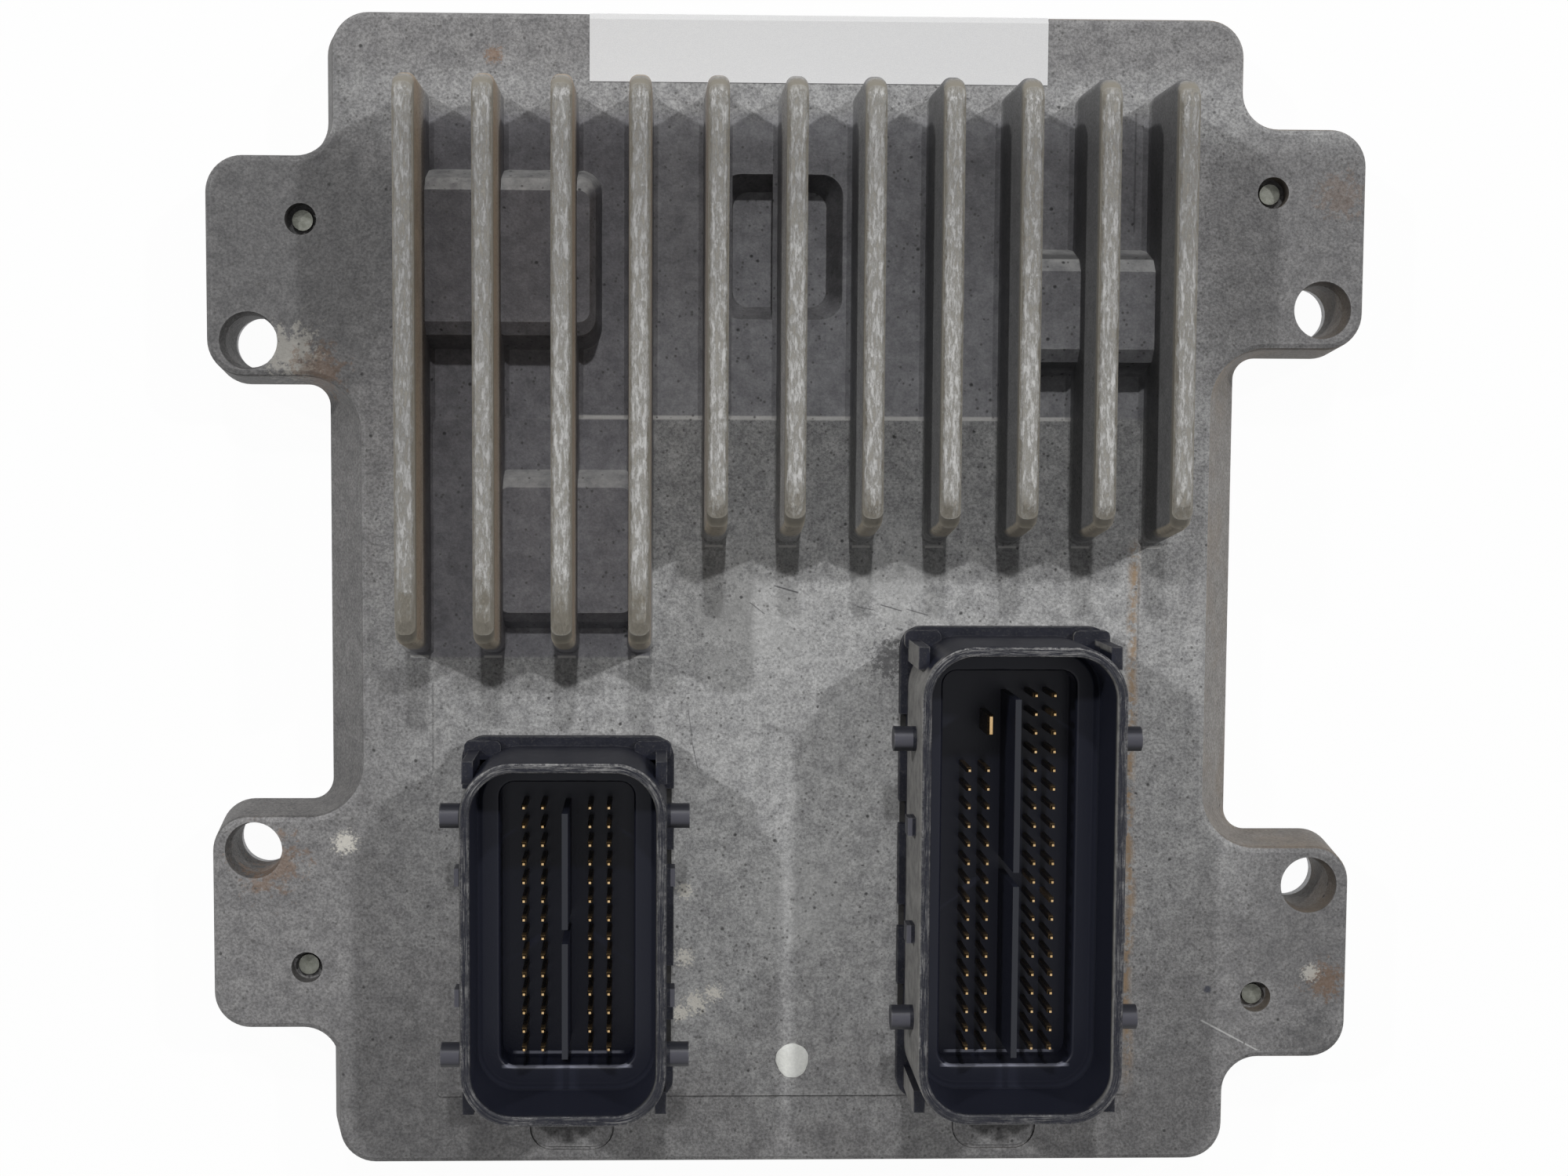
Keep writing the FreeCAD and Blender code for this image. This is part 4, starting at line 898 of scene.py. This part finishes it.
    def scuff_rim(self, coat: Coat, inset: Socket) -> Socket:
        """Return the scratches that follow the rim, strongest at its two edges.

        Args:
            coat: the shell's graph.
            inset: how far outside the rim's outer edge a place lies.

        Returns:
            The scratches' mask.
        """
        place = coat.place
        parts = {0: coat.times(inset, 4.0), 1: coat.times(coat.x, 0.14), 2: coat.times(coat.y, 0.14)}
        along_rim = coat.add("ShaderNodeCombineXYZ", parts).outputs[0]
        lines = coat.ramp(coat.noise(along_rim, 1300.0, 6.0, 0.85), 0.48, 0.58)
        touched = coat.ramp(coat.noise(place, 230.0, 5.0, 0.7), 0.42, 0.6)
        fine = coat.ramp(coat.noise(place, 1900.0, 4.0, 0.8), 0.46, 0.57)
        outer = coat.step(inset, -0.55, -0.12)
        inner = coat.step(inset, 0.35 - self.wall, 0.05 - self.wall)
        edge = coat.times(coat.math("MAXIMUM", outer, inner), fine)
        end = self.middle[1] + self.mouth[1]
        far_end = coat.step(coat.y, end - 5, end + 1)
        strength = coat.scaled(far_end, 0.4, coat.scaled(touched, 0.5, 0.12))
        scuffed = coat.scaled(edge, 0.55, coat.times(lines, 0.7))
        return coat.times(scuffed, strength, coat.step(coat.z, self.rim - 0.8, self.rim - 0.15),
                          coat.ramp(coat.up, 0.4, 0.8))


@dataclass(frozen=True)
class Simple(Finish):
    """A finish of two colours mottled together, with grain, and dirt and painted shade in its corners.

    Attributes:
        first: the main colour.
        second: the colour that clouds it.
        depth: how deep the grain is, in millimetres.
        dirt: how much dirt and painted shade its corners hold.
        soil: the colour of that dirt and painted shade.
        wear: how far its edges are rubbed.
        worn: the colour of rubbed edges.
        tarnished_below: the level below which it is tarnished, in millimetres.
        tarnish: the colour it has there.
    """

    first: Colour = (0.5, 0.5, 0.5)
    second: Colour = (0.4, 0.4, 0.4)
    depth: float = 0.02
    dirt: float = 0.3
    soil: Colour = (0.05, 0.045, 0.04)
    wear: float = 0.0
    worn: Colour = (0.6, 0.6, 0.6)
    tarnished_below: float = 0.0
    tarnish: Colour = (0.06, 0.04, 0.02)

    def paint(self, coat: Coat) -> None:
        """Mottle the two colours, darken their corners with dirt and painted shade, and wear or tarnish them.

        Args:
            coat: the material's graph.
        """
        grain = coat.ramp(coat.grain, 0.35, 0.68)
        colour = coat.mix(coat.cloud, self.first, self.second)
        colour = coat.tint(colour, coat.mix(grain, (0.8, 0.8, 0.8), (1.15, 1.15, 1.15)), 0.35)
        if self.tarnished_below:
            low = coat.step(coat.z, self.tarnished_below, self.tarnished_below - 0.5)
            colour = coat.mix(low, colour, self.tarnish)
            metal = coat.scaled(low, -0.9 * self.metallic, self.metallic)
            coat.feed(coat.shader.inputs["Metallic"], metal)
        # dirt and painted shade in the corners
        if self.dirt:
            crevices = coat.use(CREVICES, reach=1.2 * MM)[0]
            colour = coat.mix(coat.times(crevices, self.dirt), colour, self.soil)
        if self.wear:
            edges = coat.use(WORN_EDGES, width=0.3 * MM, breaks=700.0)[0]
            colour = coat.mix(coat.times(edges, self.wear), colour, self.worn)
        coat.wear(colour, coat.scaled(grain, -0.1, self.roughness))
        coat.relief(coat.grain, self.depth, 0.6)


@dataclass(frozen=True)
class BoardLaminate(Finish):
    """Green solder mask over fine traces.

    Attributes:
        mask: the mask over bare board.
        trace: the mask over copper.
    """

    mask: Colour = (0.02, 0.13, 0.05)
    trace: Colour = (0.04, 0.22, 0.09)

    def paint(self, coat: Coat) -> None:
        """Lay the mask and lift the traces.

        Args:
            coat: the board's graph.
        """
        inputs = {"Vector": coat.place, "Scale": 160.0, "Mortar Size": 0.03, "Color1": (0.0, 0.0, 0.0),
                  "Color2": (0.15, 0.15, 0.15), "Mortar": (1.0, 1.0, 1.0)}
        bricks = coat.add("ShaderNodeTexBrick", inputs).outputs["Color"]
        traces = coat.times(bricks, coat.cloud)
        coat.wear(coat.mix(traces, self.mask, self.trace), self.roughness)
        coat.relief(traces, 0.03, 0.6)


def deselect_all() -> None:
    """Leave object mode's selection empty."""
    if bpy.context.mode != "OBJECT":
        bpy.ops.object.mode_set(mode="OBJECT")
    bpy.ops.object.select_all(action="DESELECT")


@dataclass
class PaintDot:
    """The dab of white paint between the connectors.

    Attributes:
        finish: its finish.
        x: its place across, in millimetres.
        y: its place along, in millimetres.
        radius: its size, in millimetres.
        edge: how high its edge stands, in millimetres.
        crown: how much higher its middle stands, in millimetres.
        rings: how wide the slope inside its edge is, and the ring inside that, in millimetres.
        corners: how many corners its outline has.
        seed: which ragged outline it has.
    """

    finish: Finish
    x: float = 1.15
    y: float = -64.6
    radius: float = 2.35
    edge: float = 0.096
    crown: float = 0.064
    rings: tuple[float, float] = (0.35, 0.6)
    corners: int = 72
    seed: int = 5

    def build(self) -> bpy.types.Object:
        """Model the dab.

        Returns:
            The finished piece.
        """
        deselect_all()
        bpy.ops.mesh.primitive_circle_add(vertices=self.corners, radius=self.radius * MM, fill_type="NGON",
                                          location=Vector((self.x, self.y, FIELD_LEVEL)) * MM)
        piece = bpy.context.object
        bpy.ops.object.mode_set(mode="EDIT")
        bpy.ops.mesh.extrude_region_move(TRANSFORM_OT_translate={"value": (0, 0, self.edge * MM)})
        bpy.ops.mesh.inset(thickness=self.rings[0] * MM, depth=0)
        bpy.ops.transform.translate(value=(0, 0, self.crown * MM))
        bpy.ops.mesh.inset(thickness=self.rings[1] * MM, depth=0)
        bpy.ops.object.mode_set(mode="OBJECT")
        self.roughen(piece)
        bpy.ops.object.shade_smooth_by_angle(angle=math.radians(50))
        self.settle(piece)
        return piece

    def roughen(self, piece: bpy.types.Object) -> None:
        """Pull the outline in and out.

        Args:
            piece: the dab.
        """
        draw = random.Random(self.seed)
        waves = [(count, draw.uniform(0.03, 0.09) / count, draw.uniform(0, math.tau))
                 for count in (2, 3, 5, 7, 11)]
        for vertex in piece.data.vertices:
            turn = math.atan2(vertex.co.y, vertex.co.x)
            swell = 1.0 + sum(size * math.sin(count * turn + phase) for count, size, phase in waves)
            vertex.co.x *= swell
            vertex.co.y *= swell

    def settle(self, piece: bpy.types.Object) -> None:
        """Apply the dab's place, name it, dress it and let it ride.

        Args:
            piece: the dab.
        """
        deselect_all()
        piece.select_set(True)
        bpy.context.view_layer.objects.active = piece
        bpy.ops.object.transform_apply(location=True, rotation=True, scale=True)
        piece.name = piece.data.name = "paint_dot"
        piece.data.materials.clear()
        piece.data.materials.append(self.finish.material())
        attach(piece, ROOT)
        LOG.info("%s: %d faces", piece.name, len(piece.data.polygons))


@dataclass
class Dresser:
    """Puts each finish on the solids that wear it.

    Attributes:
        wearers: each finish, with the nodes that wear it.
    """

    wearers: tuple[tuple[Finish, tuple[str, ...]], ...]

    def dress(self) -> None:
        """Assign every node its material."""
        for finish, nodes in self.wearers:
            material = finish.material()
            for node in nodes:
                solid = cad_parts[node]
                solid.data.materials.clear()
                solid.data.materials.append(material)
                LOG.info("%s wears %s", node, finish.name)


def connector_finish(side: Side) -> ConnectorPlastic:
    """Return the finish of a connector shell, centred on the shell.

    Args:
        side: which shell.

    Returns:
        The finish.
    """
    low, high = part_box(f"{side.value}_connector_seal")
    middle = ((low.x + high.x) / 2 / MM, (low.y + high.y) / 2 / MM)
    mouth = ((high.x - low.x) / 2 / MM - 2.1, (high.y - low.y) / 2 / MM - 2.4)
    finish = ConnectorPlastic(f"{side.value}_connector_plastic", gloss=0.22, middle=middle, mouth=mouth)
    # the right shell's lighter inside is painted light where its floor lies in shade
    if side is Side.RIGHT:
        finish = replace(finish, inside=(0.014, 0.0155, 0.027), dust=(0.4, 0.39, 0.37))
    return finish


# Each finish's name, roughness, metallic, gloss, grain size, two colours and depth of grain
PAINT = Simple("white_paint", 0.5, 0.0, 0.3, 0.5, (0.95, 0.955, 0.92), (0.89, 0.9, 0.85), 0.04, dirt=0.2)
WEARERS = (
    (CastAluminium("cast_aluminium", 0.62, 0.05, 0.25, 0.36), ("housing",)),
    (Simple("rolled_sheet", 0.5, 0.6, 0.3, 0.5, (0.42, 0.42, 0.43), (0.34, 0.34, 0.345), dirt=0.4, wear=0.5),
     ("cover_plate",)),
    (Simple("moulded_rubber", 0.7, 0.0, 0.3, 0.2, (0.02, 0.02, 0.021), (0.03, 0.03, 0.03)),
     ("cover_gasket", "left_connector_seal", "right_connector_seal")),
    (Simple("dulled_zinc", 0.55, 0.5, 0.3, 0.15, (0.26, 0.265, 0.235), (0.16, 0.165, 0.14),
            0.03, wear=0.6, worn=(0.45, 0.45, 0.42)),
     ("cover_screws", "board_screws")),
    (Simple("blank_paper", 0.6, 0.0, 0.3, 0.1, (0.86, 0.86, 0.86), (0.845, 0.845, 0.85), 0.006, dirt=0.0),
     ("paper_label",)),
    (Simple("gold_plate", 0.35, 1.0, 0.3, 0.2, (0.66, 0.47, 0.26), (0.54, 0.36, 0.17),
            0.004, dirt=0.0, tarnished_below=20.2),
     ("left_outer_pins", "left_inner_pins", "right_outer_pins", "right_inner_pins", "power_blade")),
    (BoardLaminate("board_laminate", 0.4), ("circuit_board",)),
    (Simple("moulded_resin", 0.6, 0.0, 0.3, 0.12, (0.02, 0.02, 0.022), (0.03, 0.03, 0.03),
            wear=0.3, worn=(0.1, 0.1, 0.1)),
     ("processor", "flash_memory", "power_regulator", "driver_chips", "ignition_drivers",
      "network_transceivers", "surge_diode")),
    (Simple("soft_pad", 0.75, 0.0, 0.3, 0.2, (0.4, 0.43, 0.48), (0.34, 0.37, 0.42)),
     ("thermal_pads", "regulator_pad")),
    (Simple("drawn_can", 0.35, 0.9, 0.3, 0.2, (0.72, 0.72, 0.73), (0.6, 0.6, 0.62), wear=0.3),
     ("electrolytic_capacitors", "crystal")),
    (Simple("ground_ferrite", 0.6, 0.1, 0.3, 0.15, (0.06, 0.06, 0.065), (0.09, 0.088, 0.09), wear=0.3),
     ("power_inductor", "input_choke")),
    (Simple("fired_ceramic", 0.5, 0.0, 0.3, 0.1, (0.45, 0.33, 0.2), (0.38, 0.28, 0.18)),
     ("ceramic_capacitors",)),
    (Simple("glazed_film", 0.35, 0.0, 0.3, 0.1, (0.03, 0.03, 0.035), (0.05, 0.05, 0.05)),
     ("chip_resistors",)),
)


@dataclass
class Lamp:
    """One soft lamp.

    Attributes:
        name: its name.
        towards: the way from the unit to the lamp.
        power: its power, in watts.
        distance: how far off it stands, in metres.
        size: its width, in metres.
    """

    name: str
    towards: tuple[float, float, float]
    power: float
    distance: float = 2.0
    size: float = 0.09

    def hang(self) -> None:
        """Add the lamp and turn it to the unit."""
        data = bpy.data.lights.new(self.name, "AREA")
        data.shape = "DISK"
        data.size = self.size
        data.energy = self.power
        lamp = bpy.data.objects.new(self.name, data)
        way = Vector(self.towards).normalized()
        lamp.location = way * self.distance
        lamp.rotation_mode = "QUATERNION"
        lamp.rotation_quaternion = way.to_track_quat("Z", "Y")
        bpy.context.scene.collection.objects.link(lamp)


@dataclass
class Studio:
    """Floor, world, lamps and camera.

    Attributes:
        fill: strength of the even light from all round.
        floor_glow: how white the floor looks, against how it is lit.
        floor_size: how wide the floor is, in metres.
        floor_level: where it lies, in millimetres.
        lamps: the lamps.
        camera_place: where the camera hangs, in millimetres.
        camera_turn: how it leans, in radians.
        lens: its focal length for its sensor, in millimetres.
        sensor: the sensor's width, in millimetres.
        shift: how far the picture is shifted across.
    """

    fill: float = 0.052
    floor_glow: float = 0.97
    floor_size: float = 4.0
    floor_level: float = -0.2
    lamps: tuple[Lamp, ...] = (
        Lamp("right_lamp", (0.88, 0.57, 1.0), 13.1),
        Lamp("left_lamp", (-0.91, 0.57, 1.0), 13.2),
        Lamp("back_lamp", (0.0, 0.9, 1.0), 9.9),
    )
    camera_place: tuple[float, float, float] = (-17.75, 20.31, 291.9)
    camera_turn: tuple[float, float, float] = (-0.0672, -0.0263, 0.0045)
    lens: float = 46.8
    sensor: float = 36.0
    shift: float = 0.04575

    def set_up(self) -> None:
        """Build the studio."""
        self.light_world()
        self.lay_floor()
        for lamp in self.lamps:
            lamp.hang()
        self.place_camera()
        bpy.context.scene.view_settings.view_transform = "Standard"

    def seen_rays(self, graph: Graph) -> Socket:
        """Return where the background shows straight, in a reflection or through glass."""
        path = graph.add("ShaderNodeLightPath").outputs
        mirrored = graph.math("MAXIMUM", path["Is Glossy Ray"], path["Is Transmission Ray"])
        return graph.math("MAXIMUM", path["Is Camera Ray"], mirrored)

    def light_world(self) -> None:
        """Give the world an even light and a white look."""
        world = bpy.data.worlds.new("studio_world")
        graph = Graph(empty_tree(world))
        strength = graph.scaled(self.seen_rays(graph), 1.0 - self.fill, self.fill)
        back = graph.add("ShaderNodeBackground", {"Color": (1.0, 1.0, 1.0), "Strength": strength})
        graph.add("ShaderNodeOutputWorld", {"Surface": back.outputs[0]})
        bpy.context.scene.world = world

    def lay_floor(self) -> None:
        """Lay the white floor that keeps a faint shadow."""
        deselect_all()
        bpy.ops.mesh.primitive_plane_add(size=self.floor_size, location=(0, 0, self.floor_level * MM))
        floor = bpy.context.object
        floor.name = "floor"
        paint = bpy.data.materials.new("floor_paint")
        graph = Graph(empty_tree(paint))
        matt = graph.add("ShaderNodeBsdfDiffuse", {"Color": (0.95, 0.95, 0.95)})
        glow = graph.add("ShaderNodeEmission", {"Color": (1.0, 1.0, 1.0), "Strength": 1.0})
        share = graph.times(self.seen_rays(graph), self.floor_glow)
        both = graph.add("ShaderNodeMixShader", {0: share, 1: matt.outputs[0], 2: glow.outputs[0]})
        graph.add("ShaderNodeOutputMaterial", {"Surface": both.outputs[0]})
        floor.data.materials.append(paint)

    def place_camera(self) -> None:
        """Hang the camera where the photograph was taken from."""
        data = bpy.data.cameras.new("camera")
        data.lens = self.lens
        data.sensor_width = self.sensor
        data.shift_x = self.shift
        data.clip_start, data.clip_end = 0.01, 10.0
        camera = bpy.data.objects.new("camera", data)
        camera.location = Vector(self.camera_place) * MM
        camera.rotation_euler = self.camera_turn
        bpy.context.scene.collection.objects.link(camera)
        bpy.context.scene.camera = camera


def main() -> None:
    """Build the scene and report each piece."""
    logging.basicConfig(level=logging.INFO, format="%(name)s: %(message)s")
    shells = tuple((connector_finish(side), (f"{side.value}_connector_shell",)) for side in Side)
    Dresser(WEARERS + shells).dress()
    PaintDot(PAINT).build()
    Studio().set_up()


if __name__ == "__main__":
    main()
